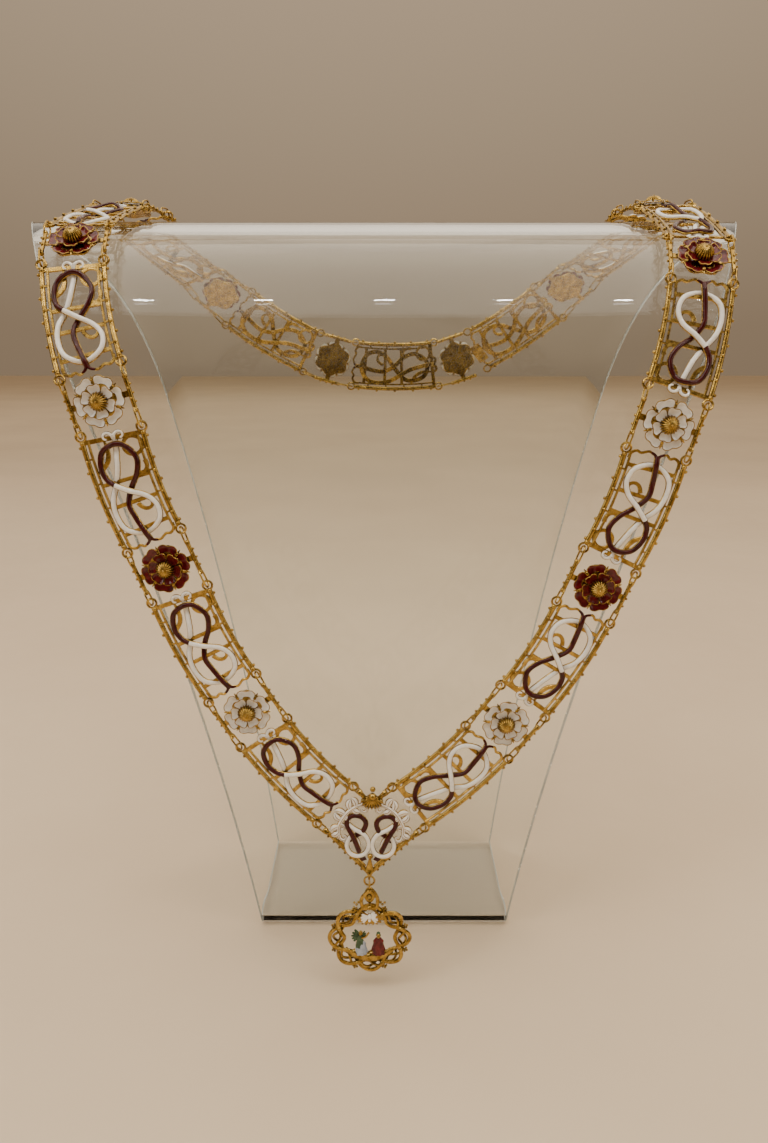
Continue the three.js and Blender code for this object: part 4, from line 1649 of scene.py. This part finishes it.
@dataclass
class Studio:
    """Floor, lamps, surroundings and camera."""

    floor_half: float = 9.0
    floor_level: float = -0.0008
    floor_rows: int = 25
    eye: tuple[float, float, float] = (0.0, -0.50865, 0.36)
    pitch: float = 15.0
    lens: float = 27.09
    sky_axis: tuple[float, float, float] = (0.0, 0.5, 1.0)
    sky_stops: tuple[tuple[float, tuple[float, float, float]], ...] = (
        (0.25, (0.05, 0.04, 0.03)), (0.74, (0.26, 0.186, 0.118)), (0.92, (0.50, 0.375, 0.25)),
    )

    def lay_floor(self) -> None:
        """A flat sheet just under the foot, as a grid of straight rows."""
        run = np.linspace(-self.floor_half, self.floor_half, self.floor_rows)
        x, y = np.meshgrid(run, run, indexing="ij")
        points = np.stack([x, y, np.full_like(x, self.floor_level)], -1).reshape(-1, 3)
        i, j = np.meshgrid(np.arange(self.floor_rows - 1), np.arange(self.floor_rows - 1), indexing="ij")
        first = i * self.floor_rows + j
        beside = first + self.floor_rows
        quads = np.stack([first, beside, beside + 1, first + 1], -1).reshape(-1, 4)
        mesh = bpy.data.meshes.new("floor")
        mesh.from_pydata(points.tolist(), [], quads.tolist())
        mesh.materials.append(PaleFloor().material())
        floor = bpy.data.objects.new("floor", mesh)
        bpy.context.scene.collection.objects.link(floor)

    def light(self) -> None:
        """Soft lamps round the object, a row of small spots over it and pale surroundings."""
        world = bpy.data.worlds.new("surroundings")
        world.use_nodes = True
        nodes, links = world.node_tree.nodes, world.node_tree.links
        high = nodes.new("ShaderNodeVectorMath")
        high.operation = "DOT_PRODUCT"
        high.inputs[1].default_value = self.sky_axis
        links.new(nodes.new("ShaderNodeTexCoord").outputs["Generated"], high.inputs[0])
        ramp = nodes.new("ShaderNodeValToRGB")
        stops = ramp.color_ramp.elements
        stops.new(0.5)
        for stop, (position, colour) in zip(stops, self.sky_stops):
            stop.position, stop.color = position, (*colour, 1.0)
        half = nodes.new("ShaderNodeMapRange")
        half.inputs["From Min"].default_value = -1.0
        links.new(high.outputs["Value"], half.inputs["Value"])
        links.new(half.outputs["Result"], ramp.inputs["Fac"])
        links.new(ramp.outputs["Color"], nodes["Background"].inputs["Color"])
        bpy.context.scene.world = world
        warm, day = (1.0, 0.92, 0.80), (1.0, 0.96, 0.90)
        spots = [
            SoftLight(f"spot_{count}", (0.2 * count, -0.6, 1.3), (-14, 0, 0), (0.035, 0.035), 0.55, day)
            for count in range(-5, 6)
        ]
        for lamp in (
            SoftLight("overhead", (0.0, -0.4, 1.8), (-10, 0, 0), (3.0, 2.2), 34.0, warm),
            SoftLight("left_window", (-1.5, -1.0, 1.1), (60, 0, -55), (0.8, 1.2), 9.0, day),
            SoftLight("right_fill", (1.6, -0.9, 0.8), (68, 0, 60), (0.8, 1.2), 5.0, warm),
            SoftLight("far_wash", (0.0, 3.6, 2.6), (0, 0, 0), (7.0, 4.0), 60.0, warm),
            SoftLight("left_back", (-1.7, 1.2, 0.9), (65, 0, -125), (0.8, 1.2), 6.0, day),
            SoftLight("right_back", (1.7, 1.2, 0.9), (65, 0, 125), (0.8, 1.2), 6.0, warm),
            *spots,
        ):
            lamp.hang()

    def set_camera(self) -> None:
        """A camera in front, above the middle, that looks a little down."""
        data = bpy.data.cameras.new("camera")
        data.lens = self.lens
        data.sensor_width = 36.0
        data.clip_start, data.clip_end = 0.01, 60.0
        camera = bpy.data.objects.new("camera", data)
        camera.location = self.eye
        camera.rotation_euler = Euler((math.radians(90 - self.pitch), 0, 0))
        bpy.context.scene.collection.objects.link(camera)
        bpy.context.scene.camera = camera


CLASP_PLATE = 9


def build_loop(palette: Palette) -> None:
    """Builds every link of the loop, with plates and roses numbered in its order.

    Args:
        palette: The finishes.
    """
    loop = LAYOUT.loop()
    plate, rose = KnotPlate(LAYOUT), Rose(LAYOUT)
    plate.build()
    plates = roses = 0
    for at, link in enumerate(loop):
        before, after = loop[at - 1], loop[(at + 1) % len(loop)]
        if link.kind is LinkKind.CENTRE:
            CentreLink(LAYOUT).dress(link, "v_link", [(-1, after, -1), (1, before, 1)], palette)
        elif link.kind is LinkKind.PLATE:
            plates += 1
            plate.dress(link, f"plate_{plates:02d}", palette)
            if plates == CLASP_PLATE:
                Clasp().dress(link, palette)
        else:
            roses += 1
            joints = [(-1, before, 1)]
            if plates + 1 != CLASP_PLATE:
                joints.append((1, after, -1))
            white = roses % 2 == (1 if roses <= len(STRAND) / 2 else 0)
            rose.dress(link, f"rose_{roses:02d}", white, joints, palette)


def main() -> None:
    """Builds the studio and then each part of the object."""
    logging.basicConfig(level=logging.INFO, format="%(name)s %(message)s")
    studio = Studio()
    studio.set_camera()
    studio.lay_floor()
    studio.light()
    palette = mix_palette()
    build_loop(palette)
    Badge(LAYOUT).dress(palette)
    Stand(LAYOUT).dress(palette)


if __name__ == "__main__":
    main()
